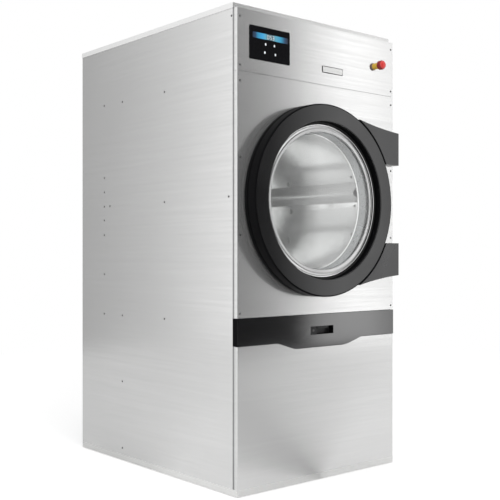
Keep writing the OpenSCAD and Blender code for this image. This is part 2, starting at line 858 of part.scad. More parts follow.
// Outline of the upper hinge arm, outside a circle of radius inner_r, drawn in all round by inset
module arm_outline(inner_r, inset = 0) {
    right = arm_end - inset;
    difference() {
        polygon([[0, arm_low + inset], [right, arm_low + inset], [right, arm_high + 30], [0, arm_root + 60]]);
        circle(r = inner_r + inset, $fn = 180);
        translate(arm_centre) circle(r = arm_curve_r + inset, $fn = 360);
        square([arm_root_x + inset, 2 * arm_root]);
    }
}

// Room that the hinge lug needs in an arm and in the door's plate
module lug_room() {
    wide = lug_r + 1;
    block([pin_x - wide, face_y + 3, lug_z - lug_h / 2 - eps], [arm_end + cut, cut, lug_z + lug_h / 2 + eps]);
}

module hinge_arm_upper() {
    corner = 6;
    block_x = pin_x - lug_r - 6;
    block_z = pin_l / 2 + 5;
    in_place() at_door() color([0.12, 0.12, 0.12]) difference() {
        slab(face_y, plate_y) arm_outline(door_r + arm_gap);
        difference() {
            slab(face_y + door_wall, plate_y + cut) arm_outline(door_r + arm_gap, door_wall);
            block([block_x, face_y, lug_z - block_z], [arm_end, 0, lug_z + block_z]);
        }
        translate([arm_end - corner, face_y + corner, 0]) difference() {
            block([0, -corner - cut, 0], [corner + cut, 0, 2 * arm_root]);
            cylinder(r = corner, h = 3 * arm_root, center = true);
        }
        lug_room();
        translate([pin_x, -pin_out, lug_z]) cylinder(r = pin_r + pin_run, h = pin_l + 1, center = true);
    }
}

module hinge_arm_lower() {
    translate([0, 0, door_z]) mirror([0, 0, 1]) translate([0, 0, -door_z]) hinge_arm_upper();
}

module door_back_plate() {
    step_r = ring_r0 - 2;
    in_place() at_door() color("dimgray") {
        turned() polygon([
            [glass_r - 10, glass_back], [ring_r0, glass_back], [ring_r0, plate_y],
            [door_r - 1, plate_y], [door_r - 1, -door_gap], [step_r, -door_gap],
            [step_r, glass_back + door_plate_t], [glass_r - 10, glass_back + door_plate_t]]);
        difference() {
            slab(plate_y, -door_gap) for (s = [0, 1]) mirror([0, s]) arm_outline(door_r - 10, 1);
            for (s = [0, 1]) mirror([0, 0, s]) lug_room();
        }
    }
}

module glass_clamp_ring() {
    in_place() at_door() color("gainsboro") turned() polygon([
        [clamp_in_r, glass_y], [clamp_in_r, glass_y - 1.5], [clamp_in_r + 3, glass_y - 2.5],
        [clamp_out_r - 5, clamp_y + 0.8], [clamp_out_r - 2, clamp_y], [clamp_out_r, clamp_y + 1],
        [clamp_out_r, glass_y]]);
}

module door_glass() {
    in_place() at_door() color([0.75, 0.85, 0.88, 0.35]) rod_y(glass_r, glass_y, glass_back, $fn = 180);
}

module glass_gasket() {
    in_place() at_door() color([0.1, 0.1, 0.1]) turned() polygon([
        [glass_r, glass_y], [clamp_out_r + clear, glass_y], [clamp_out_r + clear, glass_y - 3],
        [ring_r0, glass_y - 3], [ring_r0, glass_back], [glass_r, glass_back]]);
}

module door_seal() {
    y0 = glass_back + door_plate_t;
    tip_y = -throat_out - clear;
    in_place() at_door() color([0.15, 0.15, 0.15]) turned() polygon([
        [throat_r - 4, y0], [ring_r0 - 2, y0], [ring_r0 - 2, tip_y - 2],
        [throat_r + 8, tip_y], [throat_r - 2, tip_y], [throat_r - 4, tip_y - 2]]);
}

module door_keeper() {
    in_place() at_door() color("silver")
        block([-door_r + 12, -door_gap, -26], [-door_r + 36, -door_gap + 2, 26]);
}

module door_magnet() {
    in_place() at_door() color("dimgray")
        block([-door_r + 10, -door_gap + 2 + clear, -22], [-door_r + 38, 0, 22]);
}

module hinge_brackets() {
    in_place() at_door() color("gray") for (s = [0, 1]) mirror([0, 0, s]) difference() {
        union() {
            translate([pin_x, -pin_out, lug_z]) cylinder(r = lug_r, h = lug_h, center = true);
            block([pin_x - lug_r + 1, -pin_out, lug_z - lug_h / 2],
                  [pin_x + lug_r - 1, 0, lug_z + lug_h / 2]);
            block([pin_x - lug_r - 6, -lug_base_t, lug_z - lug_h], [pin_x + lug_r + 6, 0, lug_z + lug_h]);
        }
        translate([pin_x, -pin_out, lug_z]) cylinder(r = pin_r, h = 2 * lug_h, center = true);
    }
}

module hinge_pins() {
    in_place() at_door() color("lightgray") for (s = [0, 1]) mirror([0, 0, s])
        translate([pin_x, -pin_out, lug_z]) cylinder(r = pin_r, h = pin_l, center = true);
}

// Drum

module drum_shell() {
    around = 18;
    in_place() at_door() color("lightgray") difference() {
        turned() translate([drum_in_r, shell_y]) square([drum_t, drum_back - shell_y]);
        for (i = [1:wall_rows], k = [0:around - 1])
            rotate([0, (k + i / 2) * 360 / around + 10, 0])
                translate([0, shell_y + row_pitch * i, drum_in_r - 10])
                    cylinder(r = air_hole_r, h = 20, $fn = 24);
    }
}

module drum_front() {
    in_place() at_door() color("lightgray") turned() {
        polygon([
            [cone_r0, drum_front + 2], [drum_r, shell_y - 4], [drum_r, shell_y], [drum_in_r, shell_y],
            [drum_in_r, shell_y - 3], [cone_r0, drum_front + 4.2]]);
        translate([cone_r0, drum_front + lip_bead]) circle(r = lip_bead, $fn = 32);
    }
}

module drum_back_wall() {
    in_place() at_door() color("lightgray") {
        difference() {
            rod_y(drum_r, drum_back, drum_back + drum_t, $fn = 180);
            rod_y(shaft_r, drum_back - cut, drum_back + 10);
            for (ring = [1:air_rings]) for (k = [0:6 * (ring + 1) - 1])
                rotate([0, k * 60 / (ring + 1) + 15, 0]) translate([120 + ring * 45, 0, 0])
                    rod_y(air_hole_r, drum_back - cut, drum_back + 10, $fn = 24);
        }
        difference() {
            union() {
                rod_y(shaft_r + 20, spider_y - eps, spider_y + spider_t);
                for (k = [0:2]) rotate([0, k * 120 + 60, 0])
                    block([0, spider_y - eps, -18], [drum_r - 12, spider_y + spider_t - 4, 18]);
            }
            rod_y(shaft_r, spider_y - 10, spider_y + spider_t + 10);
        }
    }
}

// One lifter: a folded ridge along the drum, its feet just off the wall
module lifter() {
    foot = sqrt(pow(drum_in_r, 2) - pow(lifter_w / 2, 2)) - clear;
    tip = foot - lifter_h;
    crest = 10;
    t = lifter_t;
    translate([0, drum_back - clear, 0]) rotate([90, 0, 0]) linear_extrude(drum_back - shell_y - 8)
        polygon([
            [foot, -lifter_w / 2], [foot - 8, -lifter_w / 2], [tip + 4, -crest], [tip, -crest + 5],
            [tip, crest - 5], [tip + 4, crest], [foot - 8, lifter_w / 2], [foot, lifter_w / 2],
            [foot, lifter_w / 2 - t], [foot - 7, lifter_w / 2 - t], [tip + 6, crest - t],
            [tip + t, crest - 6], [tip + t, -crest + 6], [tip + 6, -crest + t],
            [foot - 7, -lifter_w / 2 + t], [foot, -lifter_w / 2 + t]]);
}

module drum_lifters() {
    in_place() at_door() color("gainsboro")
        for (k = [0:lifters - 1]) rotate([0, -lifter_turn - k * 360 / lifters, 0]) lifter();
}

module drum_shaft() {
    in_place() at_door() color("gray") rod_y(shaft_r, drum_back, drum_back + shaft_l);
}

module drum_pulley() {
    in_place() at_door() color("dimgray") difference() {
        union() {
            turned() translate([pulley_r - 10, pulley_y]) square([10, pulley_w]);
            rod_y(shaft_r + 18, pulley_y, pulley_y + pulley_w);
            rod_y(pulley_r - 5, pulley_y + web_in, pulley_y + pulley_w - web_in);
        }
        rod_y(shaft_r, pulley_y - cut, pulley_y + pulley_w + cut);
    }
}

module bearing_housing() {
    in_place() at_door() color("darkgray") difference() {
        union() {
            rod_y(housing_r, housing_y, housing_y + housing_l);
            rod_y(housing_r + 42, housing_y, housing_y + 12);
            for (k = [0:3]) rotate([0, k * 90 + 45, 0])
                block([housing_r - 4, housing_y + 11, -5], [housing_r + 34, housing_y + 60, 5]);
        }
        rod_y(bearing_r, housing_y - cut, housing_y + bearing_w);
        rod_y(bearing_r, housing_y + housing_l - bearing_w, housing_y + housing_l + cut);
        rod_y(bearing_r - 8, housing_y, housing_y + housing_l);
    }
}

module drum_bearings() {
    in_place() at_door() color("lightgray") for (y = [housing_y, housing_y + housing_l - bearing_w])
        difference() {
            rod_y(bearing_r, y, y + bearing_w);
            rod_y(shaft_r + shaft_run, y - cut, y + bearing_w + cut);
        }
}

// Belt: the line round both pulleys, at a distance from their faces
belt_run = [motor_x - door_x, motor_z - door_z];
belt_angle = atan2(belt_run[1], belt_run[0]);
belt_open = acos((pulley_r - motor_pulley_r) / norm(belt_run));
function polar(r, a) = r * [cos(a), sin(a)];
function arc(c, r, a0, a1, n) = [for (i = [0:n]) c + polar(r, a0 + (a1 - a0) * i / n)];
function belt_loop(off) = concat(
    arc([0, 0], pulley_r + off, belt_angle + belt_open, belt_angle + 360 - belt_open, 60),
    arc(belt_run, motor_pulley_r + off, belt_angle - belt_open, belt_angle + belt_open, 30));

module drum_belt() {
    in_place() at_door() color([0.1, 0.1, 0.1])
        slab(pulley_y + (pulley_w - belt_w) / 2, pulley_y + (pulley_w + belt_w) / 2) difference() {
            polygon(belt_loop(belt_gap + belt_t));
            polygon(belt_loop(belt_gap));
        }
}

module at_motor() translate([motor_x, 0, motor_z]) children();
motor_y = pulley_y - 20 - motor_l;

module drum_motor() {
    in_place() at_motor() color("steelblue") difference() {
        union() {
            rod_y(motor_r, motor_y, motor_y + motor_l);
            for (k = [0:11]) rotate([0, k * 30, 0])
                block([motor_r - 2, motor_y + 20, -2], [motor_r + 6, motor_y + motor_l - 20, 2]);
            block([-motor_r - 22, motor_y + 50, 10], [30 - motor_r, motor_y + 130, 56]);
        }
        rod_y(motor_shaft_r + shaft_run, motor_y + 20, motor_y + motor_l + cut);
    }
}

module motor_stand() {
    top = -motor_r - 8;
    low = flange_z + rail_t + sheet - motor_z;
    half = 80;
    y0 = motor_y + 10;
    y1 = motor_y + motor_l - 10;
    in_place() at_motor() color("silver") {
        block([-half, y0, top - rail_t], [half, y1, top]);
        for (x = [-half, half - rail_t]) block([x, y0, low], [x + rail_t, y1, top]);
        for (x = [-half, half - rail_w]) block([x, y0, low], [x + rail_w, y1, low + rail_t]);
        for (y = [motor_y + 20, motor_y + motor_l - 40]) difference() {
            block([-50, y, top - eps], [50, y + 20, -20]);
            rod_y(motor_r, y - cut, y + 21);
            for (k = [0:11]) rotate([0, k * 30, 0]) block([0, y - cut, -2.4], [motor_r + 6.4, y + 21, 2.4]);
        }
    }
}

module motor_pulley() {
    in_place() at_motor() color("dimgray") {
        rod_y(motor_shaft_r, motor_y + 20 + clear, pulley_y + pulley_w + 4);
        rod_y(motor_pulley_r, pulley_y, pulley_y + pulley_w);
        rod_y(motor_pulley_r + 6, pulley_y, pulley_y + 3);
        rod_y(motor_pulley_r + 6, pulley_y + pulley_w - 3, pulley_y + pulley_w);
    }
}

// Blower and exhaust

module at_fan() translate([fan_x, 0, fan_z]) children();
outlet_x = spigot_x - duct_w / 2 - fan_x;
outlet_low = 60;

// Scroll outline: its radius grows evenly round the turn that ends at the outlet
module scroll(off) {
    top = scroll_r + scroll_grow;
    union() {
        polygon([for (a = [0:10:360]) polar(scroll_r + off + scroll_grow * a / 360, 90 + a)]);
        translate([-eps, outlet_low - off]) square([outlet_x + eps, top - outlet_low + 2 * off]);
    }
}

module blower_housing() {
    in_place() at_fan() color("silver") {
        difference() {
            slab(scroll_y, scroll_back) scroll(2);
            slab(scroll_y + 2, scroll_back - 2) {
                scroll(0);
                translate([outlet_x - cut, outlet_low])
                    square([2 * cut, scroll_r + scroll_grow - outlet_low]);
            }
            rod_y(inlet_r, scroll_y - cut, scroll_y + 3);
            rod_y(fan_shaft_r + 4, scroll_back - 3, scroll_back + cut);
        }
        for (x = [-110, 80]) difference() {
            block([x, scroll_y + 10, flange_z + rail_t + sheet - fan_z], [x + 30, scroll_back - 10, -60]);
            slab(scroll_y, scroll_back) scroll(1);
        }
    }
}

module blower_wheel() {
    y0 = scroll_y + 14;
    in_place() at_fan() color("gray") {
        difference() {
            rod_y(fan_r, y0 + fan_w - 3, y0 + fan_w);
            rod_y(fan_shaft_r, y0, scroll_back);
        }
        difference() {
            rod_y(28, y0 + fan_w - 30, y0 + fan_w - 2);
            rod_y(fan_shaft_r, y0, scroll_back);
        }
        difference() {
            rod_y(fan_r, y0, y0 + 3);
            rod_y(fan_r - 26, y0 - cut, y0 + 4);
        }
        for (k = [0:fan_blades - 1]) rotate([0, k * 360 / fan_blades, 0]) translate([fan_r - 13, 0, 0])
            rotate([0, 30, 0]) block([-11, y0 + 2, -1], [11, y0 + fan_w - 2, 1]);
        rod_y(fan_shaft_r, y0 + fan_w - 34, scroll_back + fan_motor_l - 30);
    }
}

module blower_motor() {
    in_place() at_fan() color("steelblue") difference() {
        union() {
            rod_y(fan_motor_r, scroll_back, scroll_back + fan_motor_l);
            rod_y(fan_motor_r + 16, scroll_back, scroll_back + 6);
        }
        rod_y(fan_shaft_r + shaft_run, scroll_back - cut, scroll_back + fan_motor_l - 20);
    }
}

module exhaust_duct() {
    duct_end = cab_d - sheet - clear;
    bore = spigot_r - spigot_step - sheet;
    x0 = spigot_x - duct_w / 2;
    z0 = spigot_z - duct_w / 2;
    in_place() color("silver") {
        difference() {
            block([x0, scroll_y - 6, z0], [x0 + duct_w, duct_end, z0 + duct_w]);
            block([x0 + sheet, scroll_y - 6 + sheet, z0 + sheet],
                  [x0 + duct_w - sheet, duct_end - sheet, z0 + duct_w - sheet]);
            translate([fan_x, 0, fan_z]) slab(scroll_y + 2, scroll_back - 2)
                translate([outlet_x - 10, outlet_low]) square([20, scroll_r + scroll_grow - outlet_low]);
            translate([spigot_x, 0, spigot_z]) rod_y(bore, duct_end - 10, duct_end + 10);
        }
        translate([spigot_x, 0, spigot_z]) difference() {
            union() {
                rod_y(spigot_r - spigot_step, duct_end - eps, cab_d + spigot_l, $fn = 180);
                rod_y(spigot_r, cab_d + clear, cab_d + spigot_l, $fn = 180);
            }
            rod_y(bore, duct_end - 10, cab_d + spigot_l + cut, $fn = 180);
        }
    }
}

// Lint filter

module filter_housing() {
    w = tray_w / 2 + tray_clear;
    y0 = 30;
    y1 = tray_d + 50;
    z0 = tray_z - tray_drop;
    duct_low = fan_z - inlet_r - 20;
    in_place() color("silver") {
        difference() {
            block([-w - sheet, y0, z0 - sheet], [w + sheet, y1, plenum_z]);
            block([-w, y0 - cut, z0], [w, y1 - sheet, plenum_z + cut]);
            block([fan_x - 90, y1 - 60, z0 - 10], [fan_x + 90, y1 - 4, z0 + 1]);
        }
        for (s = [0, 1]) mirror([s, 0, 0])
            block([w - runner_w, y0, tray_z - clear - 2], [w, y1 - sheet, tray_z - clear]);
        difference() {
            block([fan_x - 92, y1 - 62, duct_low], [fan_x + 92, scroll_y, z0 - sheet]);
            block([fan_x - 90, y1 - 60, duct_low + 2], [fan_x + 90, scroll_y - 2, z0 - sheet - 2]);
            block([fan_x - 90, y1 - 60, z0 - 12], [fan_x + 90, y1 - 4, z0 + 2]);
            translate([fan_x, 0, fan_z]) rod_y(inlet_r, scroll_y - 10, scroll_y + cut);
        }
    }
}

module grip_shape(in) {
    translate([grip_x, grip_z]) square([grip_w - 2 * in, grip_h - 2 * in], center = true);
}

module filter_drawer_front() {
    side = half_w + 1;
    lock_x = grip_x - grip_w / 2 + lock_plate_w / 2;
    in_place() color([0.1, 0.1, 0.1]) {
        difference() {
            union() {
                slab(-band_proud, 0) flap_outline();
                // Ends round the corners, each with two low studs
                for (s = [0, 1]) mirror([s, 0, 0]) {
                    block([half_w - 1, -band_proud, band_low + eps], [side, band_return, band_top - eps]);
                    for (z = [band_low + 9, band_top - 25]) translate([side - eps, band_return - 5, z])
                        rotate([0, 90, 0]) cylinder(r = 3.5, h = 1 + eps);
                }
            }
            slab(-band_proud - cut, cut) grip_shape(0);
        }
        // Handle recess: a cup with the lock's plate at its left
        difference() {
            slab(-band_proud, grip_d) grip_shape(-2);
            slab(-band_proud - cut, grip_d - 2) difference() {
                grip_shape(0);
                translate([grip_x - grip_w / 2, grip_z - grip_h]) square([lock_plate_w, 2 * grip_h]);
            }
            slab(-band_proud - cut, 2) grip_shape(0);
            translate([lock_x, 0, grip_z]) rod_y(lock_r + shaft_run, 0, grip_d - 2);
        }
        // Bar that the fingers pull, across the top of the recess
        block([grip_x - grip_w / 2 + lock_plate_w, -band_proud + 2, grip_z + grip_h / 2 - 9],
              [grip_x + grip_w / 2 - 26, 3, grip_z + grip_h / 2]);
    }
}

module drawer_lock() {
    in_place() translate([grip_x - grip_w / 2 + lock_plate_w / 2, 0, grip_z]) color("gray") difference() {
        rod_y(lock_r, 1, grip_d - 2 - clear);
        block([-0.6, 0, -3.4], [0.6, 4, 3.4]);
    }
}

module lint_tray() {
    y0 = grip_d + 4;
    rim = 14;
    in_place() color("silver") difference() {
        union() {
            block([-tray_w / 2, y0, tray_z], [tray_w / 2, y0 + tray_d, tray_z + tray_h]);
            for (s = [-1, 1]) translate([s * (tray_w / 2 - 90), 0, tray_z])
                block([-20, 0, 8], [20, y0 + 1, tray_h - 12]);
        }
        block([-tray_w / 2 + sheet, y0 + sheet, tray_z + screen_t + 4],
              [tray_w / 2 - sheet, y0 + tray_d - sheet, tray_z + tray_h + cut]);
        block([-tray_w / 2 + rim, y0 + rim, tray_z - cut],
              [tray_w / 2 - rim, y0 + tray_d - rim, tray_z + tray_h + cut]);
    }
}

module lint_screen() {
    y0 = grip_d + 4 + 4;
    w = tray_w - 8;
    d = tray_d - 8;
    nx = screen_bars_x;
    ny = screen_bars_y;
    cell_x = (w - 20) / (nx + 1);
    cell_y = (d - 20) / (ny + 1);
    in_place() color("gainsboro") translate([-w / 2, y0, tray_z + screen_t + 4]) linear_extrude(screen_t)
        difference() {
            square([w, d]);
            for (i = [0:nx], j = [0:ny])
                translate([10 + i * cell_x + screen_bar / 2, 10 + j * cell_y + screen_bar / 2])
                    square([cell_x - screen_bar, cell_y - screen_bar]);
        }
}

// Heater, intake and supply

module air_heater() {
    x0 = heater_x - heater_w / 2;
    y1 = heater_y + heater_d;
    rod_z = heater_z + heater_h * 0.6;
    in_place() color("darkgray") {
        difference() {
            block([x0, heater_y, heater_z], [x0 + heater_w, y1, heater_z + heater_h]);
            block([x0 + sheet, heater_y + sheet, heater_z + sheet],
                  [x0 + heater_w - sheet, y1 - sheet, heater_z + heater_h - sheet]);
            block([heater_x - window_w / 2, heater_y - cut, heater_z + 6],
                  [heater_x + window_w / 2, heater_y + 4, heater_z + 6 + window_h]);
            block([x0 + 20, y1 - 4, heater_z + 60], [x0 + heater_w - 20, y1 + cut, heater_z + heater_h - 20]);
        }
        for (k = [0:rods - 1])
            translate([x0 + sheet / 2, heater_y + 60 + k * (heater_d - 120) / (rods - 1), rod_z])
                rotate([0, 90, 0]) cylinder(r = rod_r, h = heater_w - sheet);
    }
}

module intake_grille() {
    x0 = heater_x - intake_w / 2;
    z0 = intake_z - intake_h / 2;
    step = intake_h / slats;
    in_place() color("gray") {
        difference() {
            block([x0 - 12, cab_d, z0 - 12], [x0 + intake_w + 12, cab_d + 2, z0 + intake_h + 12]);
            block([x0 + 2, cab_d - cut, z0 + 2], [x0 + intake_w - 2, cab_d + 3, z0 + intake_h - 2]);
        }
        for (k = [0:slats - 1]) translate([0, cab_d, z0 + k * step])
            block([x0 + 1, 0, step * 0.3], [x0 + intake_w - 1, 2, step * 0.8]);
    }
}

module supply_gland() {
    in_place() translate([gland_x, 0, gland_z]) color("black") difference() {
        union() {
            rod_y(gland_r, cab_d, cab_d + gland_l * 0.5);
            rod_y(gland_r * 0.85, cab_d, cab_d + gland_l);
            rod_y(gland_r * 0.7 - clear, cab_d - 14, cab_d + 1);
            rod_y(gland_r, cab_d - 14, cab_d - sheet);
        }
        rod_y(gland_bore_r, cab_d - 20, cab_d + gland_l + cut);
    }
}

base_frame();
levelling_feet();
base_tray();
corner_posts();
top_frame();
side_panel_left();
side_panel_right();
rear_panel();
top_lid();
control_panel();
door_panel();
lower_panel();
panel_screws();
display_glass();
control_box();
badge_plate();
stop_collar();
stop_contacts();
stop_plunger();
stop_head();
loading_collar();
drum_felt_ring();
plenum_floor();
rear_bulkhead();
hinge_brackets();
hinge_pins();
door_magnet();
door_ring();
door_back_plate();
glass_clamp_ring();
door_glass();
glass_gasket();
door_seal();
hinge_arm_upper();
hinge_arm_lower();
door_keeper();
drum_shell();
drum_front();
drum_back_wall();
drum_lifters();
drum_shaft();
drum_pulley();
bearing_housing();
drum_bearings();
drum_belt();
drum_motor();
motor_stand();
motor_pulley();
blower_housing();
blower_wheel();
blower_motor();
exhaust_duct();
filter_housing();
filter_drawer_front();
lint_tray();
lint_screen();
drawer_lock();
air_heater();
intake_grille();
supply_gland();
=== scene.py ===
import json
import math

import bmesh
import bpy
import numpy as np
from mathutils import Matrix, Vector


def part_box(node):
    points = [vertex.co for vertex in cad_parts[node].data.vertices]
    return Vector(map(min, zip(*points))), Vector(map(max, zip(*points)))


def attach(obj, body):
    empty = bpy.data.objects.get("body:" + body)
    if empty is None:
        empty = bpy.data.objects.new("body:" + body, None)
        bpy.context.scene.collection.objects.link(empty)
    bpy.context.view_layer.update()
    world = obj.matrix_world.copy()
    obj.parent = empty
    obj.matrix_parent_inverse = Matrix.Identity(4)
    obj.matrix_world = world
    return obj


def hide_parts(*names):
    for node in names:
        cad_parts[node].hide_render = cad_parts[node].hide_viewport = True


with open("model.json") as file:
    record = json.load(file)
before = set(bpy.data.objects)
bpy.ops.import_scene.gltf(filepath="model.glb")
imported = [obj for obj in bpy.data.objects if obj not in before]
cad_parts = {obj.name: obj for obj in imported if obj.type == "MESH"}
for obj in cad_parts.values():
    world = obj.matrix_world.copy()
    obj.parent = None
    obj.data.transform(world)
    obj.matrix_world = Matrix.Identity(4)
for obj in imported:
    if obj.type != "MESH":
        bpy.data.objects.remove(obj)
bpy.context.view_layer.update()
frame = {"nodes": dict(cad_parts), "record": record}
print("frame loaded,", len(frame["nodes"]), "nodes")

mm = 0.001
# Faces that meet at more than this many degrees have an edge between them
edgeAngle = 32.0
# Faces that meet at less than this many degrees are joined into one
flatAngle = 0.6
# Folds of sheet are rounded in this many steps, on the edges that have a weight, and fuller than a plain arc
foldShape = (6, "WEIGHT", 0.82)
# Steps of a full turn: the door's and the drum's rings that catch light, and other turned shapes
ringSteps = 288
turnSteps = 224
# A face looks along an axis when its normal's part along it is at least this
facing = 0.7
# Distances in metres under which corners are joined: in new pieces, on edges without length, and in CAD nodes
weld = {"piece": 1e-6, "edge": 1e-7, "node": 2e-5}
allNodes = frame["nodes"]
bodyOfNode = {n: body for body, names in frame["record"]["behaviour"]["bodies"].items() for n in names}
slotOfNode = {part["node"]: part["material_slot"] for part in frame["record"]["subparts"]}


def corners(node):
    low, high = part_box(node)
    return np.array(low), np.array(high)


def middle(node):
    return sum(corners(node)) / 2


doorCentre = middle("door_ring")
frontY = corners("control_panel")[0][1]
backY = corners("rear_panel")[1][1]
halfWide = corners("control_panel")[1][0]
panelTop = corners("control_panel")[1][2]
splitZ = corners("control_panel")[0][2]
bandTop = corners("filter_drawer_front")[1][2]


# Objects, shader nodes and materials

def newObject(name, data):
    made = bpy.data.objects.new(name, data)
    bpy.context.scene.collection.objects.link(made)
    return made


# Links a socket, or sets a plain value
def feed(tree, socket, value):
    if isinstance(value, bpy.types.NodeSocket):
        tree.links.new(value, socket)
    else:
        socket.default_value = value


def put(tree, kind, inputs=(), **settings):
    made = tree.nodes.new("ShaderNode" + kind)
    for key, value in settings.items():
        setattr(made, key, value)
    for key, value in dict(inputs).items():
        feed(tree, made.inputs[key], value)
    return made


finishes = {}


# A new material, kept by its name. The functions for the kinds of surface feed its colour, roughness and normal.
def startMaterial(name, colour, rough, metal=0.0, **fixed):
    material = bpy.data.materials.new(name)
    material.use_nodes = True
    shader = material.node_tree.nodes["Principled BSDF"]
    shader.inputs["Base Color"].default_value = (*colour, 1)
    shader.inputs["Roughness"].default_value = rough
    shader.inputs["Metallic"].default_value = metal
    for key, value in fixed.items():
        shader.inputs[key].default_value = value
    material.diffuse_color = (*colour, 1)
    finishes[name] = material
    return material.node_tree, shader


# Feeds a shader's colour, roughness and normal, as far as they are given
def dress(tree, shader, *sources):
    for key, source in zip(("Base Color", "Roughness", "Normal"), sources):
        feed(tree, shader.inputs[key], source)


# Object coordinates, stretched and moved
def place(tree, scale=(1, 1, 1), move=(0, 0, 0)):
    where = put(tree, "TexCoord")
    shift = put(tree, "Mapping", {"Vector": where.outputs["Object"], "Location": move, "Scale": scale})
    return shift.outputs["Vector"]


# Distance from an axis along Y
def radiusFrom(tree, centre):
    moved = place(tree, (1, 0, 1), (-centre[0], 0, -centre[2]))
    return put(tree, "VectorMath", {0: moved}, operation="LENGTH").outputs["Value"]


def noise(tree, vector, scale=1.0, detail=2.0, rough=0.5):
    made = put(tree, "TexNoise", {"Vector": vector, "Scale": scale, "Detail": detail, "Roughness": rough})
    return made.outputs["Fac"]


def remap(tree, value, low=0.0, high=1.0, inLow=0.3, inHigh=0.7):
    made = put(tree, "MapRange", {
        "Value": value, "From Min": inLow, "From Max": inHigh, "To Min": low, "To Max": high})
    return made.outputs["Result"]


def maths(tree, how, a, b=0.0):
    return put(tree, "Math", {0: a, 1: b}, operation=how).outputs["Value"]


def blend(tree, share, a, b):
    made = put(tree, "Mix", data_type="RGBA")
    feed(tree, made.inputs["Factor"], share)
    colours = {socket.name: socket for socket in made.inputs if socket.type == "RGBA"}
    feed(tree, colours["A"], a)
    feed(tree, colours["B"], b)
    return [socket for socket in made.outputs if socket.type == "RGBA"][0]


def ramp(tree, value, stops):
    made = put(tree, "ValToRGB", {"Fac": value})
    band = made.color_ramp
    while len(band.elements) > 1:
        band.elements.remove(band.elements[-1])
    band.elements[0].position = stops[0][0]
    band.elements[0].color = stops[0][1]
    for where, colour in stops[1:]:
        band.elements.new(where).color = colour
    return made.outputs["Color"]


def bump(tree, height, strength, distance):
    made = put(tree, "Bump", {"Height": height, "Strength": strength, "Distance": distance})
    return made.outputs["Normal"]


def grey(value):
    return (value, value, value, 1)


def shade(colour, share):
    return (*(min(1.0, c * share) for c in colour), 1)


# A colour between a darker and a lighter share of one colour, chosen by a noise's value
def clouded(tree, value, colour, darker, lighter):
    return blend(tree, remap(tree, value), shade(colour, darker), shade(colour, lighter))


# Sheet with long fine scratches: noise stretched along the brushing, in two widths, and faint clouds
def brushedSteel(name, colour, rough, grain, streak=0.10, spread=0.05, metal=1.0):
    tree, shader = startMaterial(name, colour, rough, metal)
    fine = noise(tree, place(tree, tuple(g * 8 for g in grain)), 1.0, 3.0, 0.7)
    broad = noise(tree, place(tree, grain), 1.0, 2.0, 0.6)
    cloud = noise(tree, place(tree), 2.3, 2.0)
    both = maths(tree, "ADD", maths(tree, "MULTIPLY", fine, 0.5), maths(tree, "MULTIPLY", broad, 0.5))
    tone = ramp(tree, both, [(0.3 + 0.2 * i, shade(colour, 1 + (i - 1) * streak)) for i in range(3)])
    tone = blend(tree, remap(tree, cloud, 0.0, 0.5), tone, shade(colour, 0.94))
    dress(tree, shader, tone, remap(tree, both, rough + spread, rough - spread), bump(tree, fine, 0.12, 0.00004))


# Painted or powder coated metal: a fine orange peel, slightly uneven gloss and a breath of dust
def coated(name, colour, rough, grainSize=2600.0, lift=0.05, metal=0.0, peel=0.15, **fixed):
    tree, shader = startMaterial(name, colour, rough, metal, **fixed)
    grain = noise(tree, place(tree), grainSize, 2.0)
    cloud = noise(tree, place(tree), 5.0, 3.0)
    dress(tree, shader, clouded(tree, cloud, colour, 1.0, 1.12), remap(tree, cloud, rough - lift, rough + lift),
          bump(tree, grain, peel, 0.00006))


# Zinc coated sheet: large flat crystals, each a little lighter or darker
def spangled(name, colour, rough):
    tree, shader = startMaterial(name, colour, rough, 0.85)
    cells = put(tree, "TexVoronoi", {"Vector": place(tree), "Scale": 60.0, "Randomness": 1.0})
    crystal = put(tree, "SeparateColor", {"Color": cells.outputs["Color"]}).outputs["Red"]
    cloud = noise(tree, place(tree), 6.0, 3.0)
    mixed = maths(tree, "ADD", maths(tree, "MULTIPLY", crystal, 0.6), maths(tree, "MULTIPLY", cloud, 0.4))
    tone = ramp(tree, mixed, [(0.15, shade(colour, 0.86)), (0.5, shade(colour, 1)), (0.85, shade(colour, 1.12))])
    dress(tree, shader, tone, remap(tree, mixed, rough - 0.08, rough + 0.1, 0.15, 0.85))


# Steel polished or turned on a lathe: fine rings about the door's axis
def spunSteel(name, colour, rough, rings=900.0, streak=0.08):
    tree, shader = startMaterial(name, colour, rough, 1.0)
    reach = radiusFrom(tree, doorCentre)
    line = put(tree, "TexNoise", {"W": reach, "Scale": rings, "Detail": 3.0}, noise_dimensions="1D")
    cloud = noise(tree, place(tree), 9.0, 3.0)
    tone = ramp(tree, line.outputs["Fac"], [(0.3, shade(colour, 1 - streak)), (0.7, shade(colour, 1 + streak))])
    tone = blend(tree, remap(tree, cloud, 0.0, 0.4), tone, shade(colour, 0.9))
    dress(tree, shader, tone, remap(tree, cloud, rough * 0.8, rough * 1.25),
          bump(tree, line.outputs["Fac"], 0.1, 0.00004))


# Rolled stainless sheet, buffed: mild waves from rolling and faint scuffs from the clothes
def drumSheet(name, colour, rough, metal):
    tree, shader = startMaterial(name, colour, rough, metal)
    wave = noise(tree, place(tree, (3, 9, 3)), 1.4, 2.0, 0.4)
    scuff = noise(tree, place(tree, (30, 30, 260)), 1.0, 3.0, 0.7)
    dress(tree, shader, clouded(tree, scuff, colour, 0.95, 1.04), remap(tree, scuff, rough * 0.85, rough * 1.2),
          bump(tree, wave, 0.3, 0.002))


